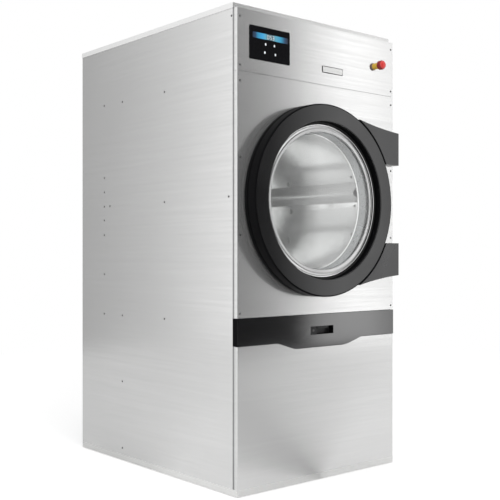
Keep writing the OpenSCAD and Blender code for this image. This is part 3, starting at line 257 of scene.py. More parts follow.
# Moulded plastic or rubber: fine grain with soft uneven gloss
def moulded(name, colour, rough, grainSize=1500.0, depth=0.00008, **fixed):
    tree, shader = startMaterial(name, colour, rough, 0.0, **fixed)
    pit = noise(tree, place(tree), grainSize, 3.0)
    cloud = noise(tree, place(tree), 14.0, 2.0)
    dress(tree, shader, clouded(tree, cloud, colour, 0.9, 1.15), remap(tree, pit, rough - 0.06, rough + 0.06),
          bump(tree, pit, 0.3, depth))


def feltCloth(name, colour):
    tree, shader = startMaterial(name, colour, 0.95, **{"Sheen Weight": 0.35, "Sheen Roughness": 0.6})
    hair = noise(tree, place(tree, (1, 3, 1)), 700.0, 4.0, 0.7)
    tuft = noise(tree, place(tree), 90.0, 3.0)
    mixed = maths(tree, "ADD", maths(tree, "MULTIPLY", hair, 0.6), maths(tree, "MULTIPLY", tuft, 0.4))
    tone = ramp(tree, mixed, [(0.3, shade(colour, 0.75)), (0.7, shade(colour, 1.2))])
    dress(tree, shader, tone, 0.95, bump(tree, mixed, 0.7, 0.0006))


# Sand cast surface: coarse pits, and broad clouds of darker and lighter tone
def castMetal(name, colour, rough, metal):
    tree, shader = startMaterial(name, colour, rough, metal)
    pit = noise(tree, place(tree), 420.0, 4.0, 0.65)
    cloud = noise(tree, place(tree), 18.0, 3.0)
    dress(tree, shader, clouded(tree, cloud, colour, 0.82, 1.15), remap(tree, cloud, rough - 0.08, rough + 0.08),
          bump(tree, pit, 0.5, 0.0004))


# Clear toughened glass, which lets lamps through to what lies behind it
def windowGlass(name):
    tree, shader = startMaterial(name, (0.985, 0.995, 0.99), 0.0, **{"Transmission Weight": 1.0, "IOR": 1.45})
    smudge = noise(tree, place(tree), 11.0, 4.0, 0.6)
    feed(tree, shader.inputs["Roughness"], remap(tree, smudge, 0.0, 0.012, 0.55, 0.8))
    clear = put(tree, "BsdfTransparent", {"Color": (0.93, 0.95, 0.945, 1)})
    path = put(tree, "LightPath")
    mixed = put(tree, "MixShader", {
        0: path.outputs["Is Shadow Ray"], 1: shader.outputs["BSDF"], 2: clear.outputs["BSDF"]})
    feed(tree, tree.nodes["Material Output"].inputs["Surface"], mixed.outputs["Shader"])


# The display's lit bar, its glow painted as colour: blue that fades into the black glass at both ends, with a calmer
# middle
def paintedGlowBar(name, centreX, wide):
    tree, shader = startMaterial(name, (0.03, 0.30, 0.62), 0.25)
    across = put(tree, "SeparateXYZ", {"Vector": place(tree, (1, 1, 1), (-centreX, 0, 0))}).outputs["X"]
    share = remap(tree, across, 0.0, 1.0, -wide / 2, wide / 2)
    tone = ramp(tree, share, [
        (0.0, (0.008, 0.012, 0.03, 1)), (0.10, (0.02, 0.06, 0.13, 1)), (0.17, (0.03, 0.30, 0.55, 1)),
        (0.30, (0.05, 0.42, 0.78, 1)), (0.38, (0.13, 0.45, 0.62, 1)), (0.44, (0.06, 0.14, 0.17, 1)),
        (0.58, (0.07, 0.16, 0.20, 1)), (0.66, (0.12, 0.44, 0.60, 1)), (0.80, (0.04, 0.36, 0.60, 1)),
        (0.92, (0.02, 0.07, 0.15, 1)), (1.0, (0.008, 0.012, 0.03, 1))])
    speck = noise(tree, place(tree), 700.0, 2.0)
    dress(tree, shader, blend(tree, remap(tree, speck, 0.0, 0.25), tone, (0.01, 0.02, 0.04, 1)))


# Noise waves in a metre of brushed sheet: along the brushing twice, and across it
acrossGrain = (1.7, 1.7, 95.0)
lidGrain = (2.2, 2.2, 90.0)
# Grain of small moulded pieces: waves in a metre, and depth in metres
fineGrain = {"grainSize": 900.0, "depth": 0.00003}
brushedSteel("panelSteel", (0.80, 0.80, 0.797), 0.175, acrossGrain, 0.06, 0.022, 0.83)
brushedSteel("lidSteel", (0.84, 0.84, 0.835), 0.26, lidGrain, 0.03, 0.02, 0.85)
# A lighter, less metallic copy of the lid's steel for the lid's side faces only: painted light on those sides
brushedSteel("lidSidePaintedLight", (0.95, 0.95, 0.945), 0.36, lidGrain, 0.03, 0.02, 0.35)
brushedSteel("bandSteel", (0.88, 0.88, 0.87), 0.36, acrossGrain, 0.05)
spangled("galvanised", (0.55, 0.57, 0.58), 0.42)
coated("ringFace", (0.003, 0.003, 0.0035), 0.15, lift=0.02, peel=0.02, IOR=1.62)
coated("ringWall", (0.003, 0.003, 0.0035), 0.42, **{"Specular IOR Level": 0.04})
coated("blackCoat", (0.005, 0.005, 0.0055), 0.09, lift=0.01, peel=0.015, IOR=2.15)
coated("armCoat", (0.030, 0.030, 0.031), 0.30, IOR=1.8)
coated("blackSide", (0.010, 0.010, 0.011), 0.36)
spunSteel("clampSteel", (0.54, 0.54, 0.54), 0.15)
# A lighter copy of the clamp's turned steel for its bead: painted highlight
spunSteel("beadSteelPaintedHighlight", (0.90, 0.90, 0.90), 0.16)
spunSteel("collarSteel", (0.36, 0.365, 0.37), 0.26, 300.0)
# A darker copy of the panels' brushed steel: painted shade for the side panels' recessed front return
brushedSteel("stripSteelPaintedShade", (0.36, 0.36, 0.36), 0.30, acrossGrain, 0.04)
spunSteel("lipSteel", (0.99, 0.99, 0.988), 0.12, 300.0, 0.01)
drumSheet("drumSteel", (0.985, 0.985, 0.983), 0.12, 0.8)
drumSheet("lifterSteel", (0.985, 0.985, 0.983), 0.10, 0.8)
brushedSteel("machinedSteel", (0.55, 0.55, 0.54), 0.32, (400.0, 60.0, 400.0), 0.08)
coated("screwSteel", (0.16, 0.16, 0.16), 0.35, 900.0, 0.05, 1.0)
castMetal("castIron", (0.20, 0.20, 0.21), 0.6, 0.6)
castMetal("castAluminium", (0.62, 0.62, 0.63), 0.45, 0.9)
coated("motorPaint", (0.10, 0.18, 0.28), 0.42)
moulded("blackRubber", (0.022, 0.022, 0.022), 0.62)
moulded("blackPlastic", (0.03, 0.03, 0.032), 0.48)
# Brown for the stop's base ring: painted reflection of the yellow collar in the steel panel
moulded("brownPaintedReflection", (0.16, 0.115, 0.095), 0.5, **fineGrain)
coated("displayGlass", (0.006, 0.006, 0.007), 0.06, 900.0, 0.02)
paintedGlowBar("displayBarPaintedGlow", middle("display_glass")[0], 0.166)
moulded("displayMark", (0.80, 0.84, 0.86), 0.35, 900.0, 0.00002)
brushedSteel("badgeFace", (0.90, 0.90, 0.89), 0.24, acrossGrain, 0.05)
moulded("signalRed", (0.75, 0.045, 0.04), 0.3, **fineGrain, **{"Coat Weight": 0.3})
# A darker copy of the head's red for its rim: painted shade on the sides of the head
moulded("signalRedPaintedShade", (0.30, 0.008, 0.010), 0.36, **fineGrain)
moulded("safetyYellow", (0.72, 0.45, 0.04), 0.34, **fineGrain)
feltCloth("felt", (0.60, 0.55, 0.46))
windowGlass("doorGlass")
finishOfSlot = {
    "brushed_steel": "panelSteel", "galvanised": "galvanised", "pale_coat": "lidSteel",
    "black_coat": "blackCoat", "black_side": "blackSide", "polished_steel": "clampSteel",
    "drum_steel": "drumSteel", "machined_steel": "machinedSteel", "cast_iron": "castIron",
    "aluminium": "castAluminium", "black_rubber": "blackRubber", "black_plastic": "blackPlastic",
    "display_black": "displayGlass", "safety_yellow": "safetyYellow", "signal_red": "signalRed",
    "door_glass": "doorGlass", "felt": "felt", "motor_paint": "motorPaint",
}
# The badge's plate is black so that its rim round the bright face shows as a painted shadow gap
finishOfNode = {
    "base_frame": "bandSteel", "loading_collar": "collarSteel", "hinge_arm_upper": "armCoat",
    "hinge_arm_lower": "armCoat", "badge_plate": "blackSide", "panel_screws": "screwSteel",
    "drawer_lock": "screwSteel"}


def finishFor(node):
    return finishOfNode.get(node, finishOfSlot[slotOfNode[node]])


for name, thing in allNodes.items():
    thing.data.materials.clear()
    thing.data.materials.append(finishes[finishFor(name)])
print("materials ready:", len(finishes))


# Making pieces

# A new piece with the body of a node that it stands for, or that it only sits on, and the given finish
def linkAt(name, mesh, finish, node, replace=True):
    piece = newObject(name, mesh)
    mesh.materials.clear()
    mesh.materials.append(finishes[finish])
    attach(piece, bodyOfNode[node])
    if replace:
        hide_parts(node)
    return piece


# Smooth shading, except across edges of more than the given degrees
def smooth(mesh, degrees=edgeAngle):
    mesh.polygons.foreach_set("use_smooth", np.ones(len(mesh.polygons), bool))
    mesh.set_sharp_from_angle(angle=math.radians(degrees))
    return mesh


# A mesh from points and faces, with doubles merged and its faces turned outwards
def meshFrom(name, points, faces, smoothOver=edgeAngle):
    mesh = bpy.data.meshes.new(name)
    mesh.from_pydata(np.asarray(points, float).reshape(-1, 3).tolist(), [], [list(map(int, f)) for f in faces])
    work = bmesh.new()
    work.from_mesh(mesh)
    bmesh.ops.remove_doubles(work, verts=work.verts, dist=weld["piece"])
    bmesh.ops.dissolve_degenerate(work, edges=work.edges, dist=weld["edge"])
    bmesh.ops.recalc_face_normals(work, faces=work.faces)
    work.to_mesh(mesh)
    work.free()
    return smooth(mesh, smoothOver)


# Angles of evenly spaced points round a full turn
def fullTurn(steps):
    return np.linspace(0, 2 * math.pi, steps, endpoint=False)


# Each row as a vector of length 1
def unit(rows):
    return rows / (np.linalg.norm(rows, axis=1, keepdims=True) + 1e-12)


# The four-sided faces of a grid of points, as index numbers
def gridFaces(rows, cols, closeRows=False, closeCols=False):
    i = np.arange(rows if closeRows else rows - 1)[:, None]
    j = np.arange(cols if closeCols else cols - 1)[None, :]
    i2, j2 = (i + 1) % rows, (j + 1) % cols
    return np.stack([i * cols + j, i * cols + j2, i2 * cols + j2, i2 * cols + j], -1).reshape(-1, 4)


# Rounds a closed outline's corners. At each corner an arc of the given radius touches both sides: its centre
# lies on the halving line, and its points turn evenly from one touching point to the other.
def softProfile(points, radii, steps=6):
    points = np.asarray(points, float)
    radii = np.broadcast_to(np.asarray(radii, float), len(points))[:, None]
    before, after = unit(np.roll(points, 1, 0) - points), unit(np.roll(points, -1, 0) - points)
    half = np.arccos(np.clip(np.sum(before * after, 1, keepdims=True), -0.9999, 0.9999)) / 2
    centre = points + unit(before + after) * radii / np.sin(half)
    first = points + before * radii / np.tan(half) - centre
    last = points + after * radii / np.tan(half) - centre
    turn = (math.pi - 2 * half)[:, None, :]
    share = np.linspace(0, 1, steps)[None, :, None]
    arc = (np.sin((1 - share) * turn) * first[:, None] + np.sin(share * turn) * last[:, None]) / np.sin(turn)
    outline = (centre[:, None] + arc).reshape(-1, 2)
    keep = np.linalg.norm(outline - np.roll(outline, 1, 0), axis=1) > 1e-7
    return outline[keep]


# A profile of (radius, y) carried round an axis along Y: x = cx + radius sin t, z = cz + radius cos t
def turnedMesh(name, profile, centre, steps=turnSteps):
    profile = np.asarray(profile, float)
    angle = fullTurn(steps)[:, None]
    radius, along = profile[None, :, 0], profile[None, :, 1]
    points = np.stack([centre[0] + radius * np.sin(angle), along + 0 * angle, centre[2] + radius * np.cos(angle)], -1)
    return meshFrom(name, points, gridFaces(steps, len(profile), True, True))


# Normals that follow the large faces, so that flat faces stay flat beside rounded edges
def keepFlat(piece):
    made = piece.modifiers.new("flatFaces", "WEIGHTED_NORMAL")
    made.weight = 100
    made.keep_sharp = True


# A closed outline in mm, of radius and of y from the front panels, rounded and turned about an axis
def turned(name, outline, radii, centre, finish, node, replace=True, steps=turnSteps):
    profile = softProfile(np.array(outline, float) * mm, np.array(radii, float) * mm)
    profile[:, 1] += frontY
    piece = linkAt(name, turnedMesh(name, profile, centre, steps), finish, node, replace)
    keepFlat(piece)
    return piece


# Bars with one section each: point = start or end + section's first number along across + its second along up
def barsMesh(name, section, starts, ends, across, up, smoothOver=edgeAngle):
    section = np.asarray(section, float)
    starts, ends = np.atleast_2d(starts), np.atleast_2d(ends)
    count, around = len(starts), len(section)
    across = np.broadcast_to(np.asarray(across, float), (count, 3))
    up = np.broadcast_to(np.asarray(up, float), (count, 3))
    ring = section[None, :, :1] * across[:, None] + section[None, :, 1:] * up[:, None]
    points = np.stack([starts[:, None] + ring, ends[:, None] + ring], 1).reshape(-1, 3)
    first = np.arange(count)[:, None, None] * 2 * around
    sides = (gridFaces(2, around, False, True)[None] + first).reshape(-1, 4)
    caps = np.stack([np.arange(around)[::-1], np.arange(around) + around])[None] + first
    return meshFrom(name, points, list(sides) + list(caps.reshape(-1, around)), smoothOver)


# Turned shapes at several places. Rows of (radius, height, sides), in mm, stand about each axis: a row with sides
# has flats, so its radius is the flats' distance over the cosine of the turn from the nearest flat's middle.
def lathesMesh(name, rows, places, axis, steps=24):
    rows = np.asarray(rows, float) * [mm, mm, 1]
    places = np.atleast_2d(np.asarray(places, float))
    axis = np.broadcast_to(np.asarray(axis, float), places.shape)
    helper = np.where(np.abs(axis[:, 2:]) > 0.5, [[1.0, 0.0, 0.0]], [[0.0, 0.0, 1.0]])
    across = np.cross(axis, helper)
    up = np.cross(axis, across)
    angle = fullTurn(steps)[None, :]
    sides = rows[:, 2:3]
    wedge = 2 * math.pi / np.maximum(sides, 1)
    off = (angle + wedge / 2) % wedge - wedge / 2
    radius = np.where(sides > 0, rows[:, :1] / np.where(sides > 0, np.cos(off), 1), rows[:, :1] + 0 * angle)
    height = rows[None, :, None, 1:2]
    points = (places[:, None, None] + axis[:, None, None] * height
              + across[:, None, None] * (radius * np.cos(angle))[None, :, :, None]
              + up[:, None, None] * (radius * np.sin(angle))[None, :, :, None])
    faces = gridFaces(len(rows), steps, False, True)[None] + np.arange(len(places))[:, None, None] * len(rows) * steps
    return meshFrom(name, points, faces.reshape(-1, 4))


# A copy of a CAD node's mesh with its doubles merged and its flat faces joined
def mergedCopy(node):
    mesh = allNodes[node].data.copy()
    mesh.name = "soft_" + node
    work = bmesh.new()
    work.from_mesh(mesh)
    bmesh.ops.remove_doubles(work, verts=work.verts, dist=weld["node"])
    bmesh.ops.dissolve_limit(work, angle_limit=math.radians(flatAngle), verts=work.verts, edges=work.edges)
    work.to_mesh(mesh)
    work.free()
    return smooth(mesh)


# Bevel weights: 1 for the long edges where the front face meets what is folded back from it, and the given
# share for every other edge
def edgeWeights(mesh, share, axes):
    work = bmesh.new()
    work.from_mesh(mesh)
    weight = work.edges.layers.float.new("bevel_weight_edge")
    places = np.array([v.co for v in work.verts])
    low, high = places.min(0) + 0.4 * mm, places.max(0) - 0.4 * mm
    for edge in work.edges:
        if edge.calc_face_angle(0) > math.radians(edgeAngle):
            both = np.array([v.co for v in edge.verts])
            outer = any((both[:, axis] < low[axis]).all() or (both[:, axis] > high[axis]).all() for axis in axes)
            edge[weight] = 1.0 if outer and (both[:, 1] < low[1]).all() else share
    work.to_mesh(mesh)
    work.free()


def bevel(piece, width, segments, by="ANGLE", profile=0.5):
    made = piece.modifiers.new("roundedEdges", "BEVEL")
    made.width = width * mm
    made.segments = segments
    made.limit_method = by
    made.angle_limit = math.radians(edgeAngle)
    made.miter_outer = "MITER_ARC"
    made.profile = profile
    keepFlat(piece)


# A CAD node's own shape with rounded edges, and folds of a larger radius along the named axes
def soften(node, width, segments=2, folds=0.0, foldAxes=(0,)):
    mesh = mergedCopy(node)
    if folds:
        edgeWeights(mesh, width / folds, foldAxes)
    piece = linkAt("soft_" + node, mesh, finishFor(node), node)
    if folds:
        bevel(piece, folds, *foldShape)
    elif width:
        bevel(piece, width, segments)
    return piece


# One property of all of a mesh's corners, points or faces, as rows of numbers
def fetch(items, key, wide, kind=float):
    values = np.empty(len(items) * wide, kind)
    items.foreach_get(key, values)
    return values.reshape(-1, wide)


# Exact normals for faces that turn about an axis along Y: the part across the axis points straight out
def roundShading(piece, centre):
    mesh = piece.data
    sides = fetch(mesh.polygons, "loop_total", 1, int)[:, 0]
    flat = np.repeat(fetch(mesh.polygons, "normal", 3), sides, axis=0)
    out = fetch(mesh.vertices, "co", 3)[fetch(mesh.loops, "vertex_index", 1, int)[:, 0]] - centre
    out[:, 1] = 0
    out = unit(out)
    along = np.sum(out * flat, 1)
    across = np.linalg.norm(flat - out * along[:, None] - flat * [0, 1, 0], axis=1)
    normals = out * (np.sign(along) * np.sqrt(np.clip(1 - flat[:, 1] ** 2, 0, 1)))[:, None] + flat * [0, 1, 0]
    normals = np.where((across < 0.08)[:, None], normals, flat)
    mesh.normals_split_custom_set(normals.tolist())


# A rectangle's corners about its middle
def rectangle(halfWidth, halfHeight):
    return np.array([[-1, -1], [1, -1], [1, 1], [-1, 1]]) * [halfWidth, halfHeight]


# Points from three coordinates, of which each is a number or a row of numbers
def spots(x, y, z):
    return np.stack(np.broadcast_arrays(x, y, z), -1).astype(float)


# A place in mm: across from the middle, back from the front panels, and up from the floor
def at(x, y, z):
    return spots(np.asarray(x) * mm, frontY + np.asarray(y) * mm, np.asarray(z) * mm)


# Camera, light and floor

photoView = {"place": (-2.3014, -2.8165, 0.826), "turn": -40.38, "lens": 63.5, "shiftUp": 0.0086}
# Tones of the studio, the floor's size, the strength that the tones are shares of, and the ceiling that metal sees:
# the rise of a direction where it begins and where it is full, and its tone
studio = {"white": 1.0, "fill": 0.78, "floor": 0.82, "floorGlow": 0.36, "floorSize": 8.0, "top": 2.0,
          "ceiling": (0.25, 0.9, 0.45)}
# Brightness that metal sees, by direction: degrees from the front towards the machine's right, and strength
surround = [(-180, 0.55), (-168, 0.34), (-156, 0.30), (-150, 0.36), (-145, 0.55), (-140, 1.12), (-130, 1.2),
            (-90, 1.0), (-50, 1.0), (-20, 0.85), (-2, 0.66), (10, 0.30), (18, 0.05), (43.8, 0.03), (45, 1.93),
            (48.5, 1.93), (50, 0.7), (60, 0.7), (80, 0.9), (110, 0.85), (150, 0.55), (180, 0.55)]
# Painted reflection of the studio's walls in the floor's colour, as metal sees it, in the same directions from the
# middle of the front
floorPaintedReflection = [(-180, 0.70), (-152, 0.72), (-143, 0.78), (-134, 0.92), (-100, 0.92), (-30, 0.80), (0, 0.60),
              (30, 0.46), (45, 0.73), (54, 0.95), (90, 0.95), (180, 0.70)]
# The drum's lamp stands inside it, because the photo's drum is lighter than light through the door's glass makes
# it. Its places are from the front panels at the door's middle.
doorFront = np.array([doorCentre[0], frontY, doorCentre[2]])
lamps = {
    "keyLamp": {"at": (-1.8, -3.4, 3.6), "aim": (0, 0, 0.9), "size": (2.4, 2.0), "power": 60},
    "drumLamp": {"at": doorFront + (-0.04, 0.16, 0.06), "aim": doorFront + (0.333, 0.12, 0.0), "size": (0.16, 0.16),
                 "power": 1.3}}


def makeCamera():
    data = bpy.data.cameras.new("photoCamera")
    data.sensor_width = 36.0
    data.lens = photoView["lens"]
    data.shift_y = photoView["shiftUp"]
    viewer = newObject("photoCamera", data)
    viewer.location = photoView["place"]
    viewer.rotation_euler = (math.radians(90), 0, math.radians(photoView["turn"]))
    bpy.context.scene.camera = viewer
    bpy.context.scene.view_settings.view_transform = "Standard"


# A list of (direction, tone) read in the direction of a vector, as a share of the given highest tone
def toneAround(tree, vector, tones, top):
    parts = put(tree, "SeparateXYZ", {"Vector": vector})
    back = maths(tree, "MULTIPLY", parts.outputs["Y"], -1.0)
    turn = maths(tree, "ARCTAN2", parts.outputs["X"], back)
    share = remap(tree, turn, 0.0, 1.0, -math.pi, math.pi)
    return ramp(tree, share, [((degrees + 180) / 360, grey(level / top)) for degrees, level in tones]), parts


# Two switches by ray: whether metal sent it out, and whether the camera did, straight or through glass
def raySwitches(tree):
    path = put(tree, "LightPath").outputs
    mirrored = maths(tree, "MINIMUM", path["Glossy Depth"], 1.0)
    return mirrored, maths(tree, "MAXIMUM", path["Is Camera Ray"], path["Is Transmission Ray"])


# A white studio. Metal sees soft dark and bright walls round it; matt pieces see an even fill.
def makeWorld():
    world = bpy.data.worlds.new("studioWorld")
    world.use_nodes = True
    bpy.context.scene.world = world
    tree = world.node_tree
    where = put(tree, "TexCoord")
    wall, parts = toneAround(tree, where.outputs["Generated"], surround, studio["top"])
    high = remap(tree, parts.outputs["Z"], 0.0, 1.0, *studio["ceiling"][:2])
    seen = blend(tree, high, wall, grey(studio["ceiling"][2]))
    mirrored, plain = raySwitches(tree)
    level = blend(tree, plain, grey(studio["fill"] / studio["top"]), grey(studio["white"] / studio["top"]))
    level = blend(tree, mirrored, level, seen)
    sky = tree.nodes["Background"]
    feed(tree, sky.inputs["Color"], level)
    sky.inputs["Strength"].default_value = studio["top"]


# A pale floor that keeps the machine's shadow and otherwise runs into the white. In metal it looks darker and shows
# the walls' dark and bright sides as painted reflection in its colour, the way a slightly glossy floor would mirror
# them.
def makeFloor():
    half = studio["floorSize"] / 2
    side = np.linspace(-half, half, 5)
    x, y = np.meshgrid(side, side, indexing="ij")
    mesh = meshFrom("studioFloor", spots(x, y, 0), gridFaces(5, 5))
    tree, shader = startMaterial("studioFloor", grey(studio["floor"])[:3], 0.9, **{
        "Specular IOR Level": 0.0, "Emission Color": (1, 1, 1, 1)})
    mirrored, plain = raySwitches(tree)
    fromFront = put(tree, "VectorMath", {0: place(tree), 1: (0, -frontY, 0)}, operation="ADD").outputs[0]
    tone = toneAround(tree, fromFront, floorPaintedReflection, 1.0)[0]
    dress(tree, shader, blend(tree, mirrored, grey(studio["floor"]), tone))
    seen = maths(tree, "MULTIPLY", plain, maths(tree, "SUBTRACT", 1.0, mirrored))
    feed(tree, shader.inputs["Emission Strength"], maths(tree, "MULTIPLY", seen, studio["floorGlow"]))
    mesh.materials.append(finishes["studioFloor"])
    newObject("studioFloor", mesh)


# A soft lamp that metal and glass don't show
def makeLamp(name):
    d = lamps[name]
    data = bpy.data.lights.new(name, "AREA")
    data.shape = "RECTANGLE"
    data.size, data.size_y = d["size"]
    data.energy = d["power"]
    lamp = newObject(name, data)
    lamp.location = d["at"]
    away = np.array(d["aim"], float) - np.array(d["at"], float)
    flat = math.hypot(away[0], away[1])
    lamp.rotation_euler = (math.atan2(flat, -away[2]), 0, math.atan2(away[1], away[0]) - math.pi / 2)
    lamp.visible_glossy = False
    lamp.visible_transmission = False


makeCamera()
makeWorld()
makeFloor()
for name in lamps:
    makeLamp(name)
print("camera, light and floor ready")


# Casing

sheetEdges = {"panel": 0.35, "fold": 4.5, "band": 0.6, "lid": 0.6}
# The side panels' front return, whose set back faces take a darker copy of the steel as painted shade of the recess:
# how far it lies in from the side, and how deep it is
returnStrip = {"in": 1.6, "deep": 60}

for node in ("control_panel", "door_panel"):
    soften(node, sheetEdges["panel"], 2, sheetEdges["fold"], (0, 2))
soften("lower_panel", sheetEdges["panel"], 2, sheetEdges["fold"])
for node in ("side_panel_left", "side_panel_right"):
    mesh = soften(node, sheetEdges["panel"]).data
    mesh.materials.append(finishes["stripSteelPaintedShade"])
    # Faces set back in the front return take the darker steel, painted shade of the recess
    for face in mesh.polygons:
        setBack = abs(face.center.x) < halfWide - returnStrip["in"] * mm
        face.material_index = 1 if setBack and face.center.y < frontY + returnStrip["deep"] * mm else 0
soften("rear_panel", sheetEdges["panel"])
lidMesh = soften("top_lid", sheetEdges["lid"], 3).data
lidMesh.materials.append(finishes["lidSidePaintedLight"])
# Faces that look sideways take the lighter copy, painted light chosen by each face's direction
for face in lidMesh.polygons:
    face.material_index = 1 if abs(face.normal.x) > facing else 0
soften("base_frame", sheetEdges["band"])

# Button head screws: rows of (radius, height, sides) from the shank's end over the head into its socket
screwDims = {"head": 4.0, "high": 1.2, "shank": 2.0, "length": 5.0, "socket": 1.45, "deep": 0.7, "in": 11.5}
# Front screws, as distance above the drawer's band, the door's middle twice, the panels' joint twice and the top
frontScrews = [(bandTop, 17), (doorCentre[2], -129), (doorCentre[2], 136), (splitZ, -33.5), (splitZ, 20.5),
               (panelTop, -29)]
# Side screws, as distance behind the front panels and height
sideScrews = [(31, 1640), (862, 1439), (724, 1437), (430, 1436), (862, 1141), (862, 1082), (862, 1023), (818, 1023),
              (862, 966), (862, 905), (430, 1022), (46, 1024), (862, 744), (862, 581), (724, 581), (430, 584),
              (724, 317), (724, 50)]


def makeScrews():
    d = screwDims
    rows = [
        (0, -d["length"], 0), (d["shank"], -d["length"], 0), (d["shank"], 0, 0), (d["head"], 0, 0),
        (d["head"], 0.25, 0), (d["head"] * 0.93, 0.62, 0), (d["head"] * 0.76, 0.95, 0),
        (d["head"] * 0.55, d["high"], 0), (d["socket"], d["high"], 6),
        (d["socket"] * 0.94, d["high"] - d["deep"], 6), (0, d["high"] - d["deep"] - 0.2, 0)]
    heights = np.array([level / mm + above for level, above in frontScrews])
    x, z = np.meshgrid([-1, 1] * np.array(halfWide / mm - d["in"]), heights, indexing="ij")
    front = at(x.ravel(), 0, z.ravel())
    side = np.array(sideScrews, float)
    flanks = [at(s * halfWide / mm, side[:, 0], side[:, 1]) for s in (-1, 1)]
    places = np.concatenate([front, *flanks])
    axis = np.repeat([[0, -1, 0], [-1, 0, 0], [1, 0, 0]], [len(front), len(side), len(side)], axis=0)
    linkAt("panelScrews", lathesMesh("panelScrews", rows, places, axis), "screwSteel", "panel_screws")


# Feet: rows of (radius, height, sides) of the rubber pad, its plate, the hexagon and the threaded stud
footDims = {"pad": 20.0, "stud": 6.0, "nut": 9.0, "in": 60.0, "top": 56.0, "pitch": 1.75, "thread": 0.45}


def makeFeet():
    d = footDims
    turns = np.arange(18.0, d["top"], d["pitch"] / 2)
    thread = np.stack([d["stud"] - d["thread"] * (np.arange(len(turns)) % 2), turns, 0 * turns], -1)
    rows = np.concatenate([[
        (0, 0, 0), (d["pad"] - 1, 0, 0), (d["pad"], 1, 0), (d["pad"], 4.5, 0), (d["pad"] - 1.5, 6, 0),
        (d["pad"] * 0.6, 9.6, 0), (d["nut"], 10, 6), (d["nut"], 17, 6), (d["stud"], 17.6, 0)], thread,
        [(0, d["top"], 0)]])
    out = halfWide / mm - d["in"]
    deep = (backY - frontY) / mm
    x, y = np.meshgrid([-out, out], [d["in"], deep - d["in"]], indexing="ij")
    linkAt("levellingFeet", lathesMesh("levellingFeet", rows, at(x.ravel(), y.ravel(), 0), (0, 0, 1)),
           "blackRubber", "levelling_feet")


makeScrews()
makeFeet()
print("casing softened")


# Controls

# Shares of the display's width and height, from its left and its top, and sizes in mm
displayDims = {"bar": (0.08, 0.955, 0.275, 20.0), "digits": (0.455, 0.275), "digit": (7.0, 13.0), "stroke": 1.7,
               "slant": 0.06, "proud": 0.2, "marks": [(0.395, 0.50), (0.61, 0.50), (0.375, 0.75), (0.635, 0.76)],
               "markSize": (3.4, 4.6), "round": 3.5, "pitch": 10.5, "pause": 3.0, "points": (6.7, 2.6, 1.1)}
# The digits and the points stand this much further out than the bar
digitsProud = 1.8
# Which of the seven strokes each digit shows: top, two upper, middle, two lower, bottom
strokesOf = {"0": "1110111", "3": "1011011", "5": "1101011"}


# A rounded section in X and Z, carried from the glass out to its place just in front of it
def platesOn(name, section, centres, finish, proud=1.0, across=(1, 0, 0), up=(0, 0, 1)):
    glass = corners("display_glass")[0][1]
    starts = np.array(centres, float)
    starts[:, 1] = glass + 0.3 * mm
    ends = starts.copy()
    ends[:, 1] = glass - displayDims["proud"] * proud * mm
    return linkAt(name, barsMesh(name, section, starts, ends, across, up), finish, "display_glass", False)


def makeDisplay():
    d = displayDims
    low, high = corners("display_glass")
    size = high - low

    def spot(share, down):
        return low[0] + share * size[0], high[2] - down * size[2]

    soften("display_glass", 0.5, 3)
    left, right, down, thick = d["bar"]
    wide = (right - left) * size[0]
    x, z = spot((left + right) / 2, down)
    bar = softProfile(rectangle(wide / 2, thick * mm / 2), d["round"] * mm)
    # The bar's glow is painted into its colour and gives no light
    platesOn("displayBarPaintedGlow", bar, [(x, 0, z)], "displayBarPaintedGlow")
    # Strokes of the digits: centre and direction of each, in shares of a digit's width and height
    strokes = np.array([(0, 1, 1, 0), (-1, 0.5, 0, 1), (1, 0.5, 0, 1), (0, 0, 1, 0), (-1, -0.5, 0, 1),
                        (1, -0.5, 0, 1), (0, -1, 1, 0)], float)
    digitW, digitH = np.array(d["digit"]) * mm / 2
    x0, z0 = spot(*d["digits"])
    centres, across, up = [], [], []
    for number, digit in enumerate("053"):
        chosen = strokes[[c == "1" for c in strokesOf[digit]]]
        shift = number * d["pitch"] * mm + (d["pause"] * mm if number else 0)
        cz = chosen[:, 1] * digitH
        centres += list(spots(x0 + shift + chosen[:, 0] * digitW + d["slant"] * cz, 0, z0 + cz))
        flat = chosen[:, 2:3] > 0
        across += list(np.where(flat, [[1.0, 0, 0]], [[d["slant"], 0, 1.0]]))
        up += list(np.where(flat, [[0, 0, 1.0]], [[-1.0, 0, 0]]))
    half, stroke = digitW * 0.86, d["stroke"] * mm / 2
    section = np.array([(-half, 0), (-half + stroke, -stroke), (half - stroke, -stroke), (half, 0),
                        (half - stroke, stroke), (-half + stroke, stroke)])
    platesOn("displayDigits", section, centres, "displayMark", digitsProud, across, up)
    # Four round touch marks and the two points between the digits
    turn = fullTurn(20)
    disc = np.stack([np.cos(turn), np.sin(turn)], -1)
    marks = [(x, 0, z) for x, z in (spot(*share) for share in d["marks"])]
    platesOn("displayMarks", disc * np.array(d["markSize"]) * mm, marks, "displayMark")
    aside, apart, radius = np.array(d["points"]) * mm
    platesOn("displayPoints", disc * radius, spots(x0 + aside, 0, z0 + np.array([-apart, apart])), "displayMark",
             digitsProud)


badgeDims = {"edge": 0.3, "border": 2.2, "round": 1.5, "inside": 0.8, "proud": 0.3}


# A bare bright face on the dark plate, whose black rim round it is a painted shadow gap
def makeBadge():
    d = badgeDims
    soften("badge_plate", d["edge"])
    low, high = corners("badge_plate")
    size = (high - low) / 2 - [d["border"] * mm, 0, d["border"] * mm]
    section = softProfile(rectangle(size[0], size[2]), d["round"] * mm)
    start, end = middle("badge_plate"), middle("badge_plate")
    start[1], end[1] = low[1] + d["inside"] * mm, low[1] - d["proud"] * mm
    linkAt("badgeFace", barsMesh("badgeFace", section, start, end, (1, 0, 0), (0, 0, 1)), "badgeFace",
           "badge_plate", False)


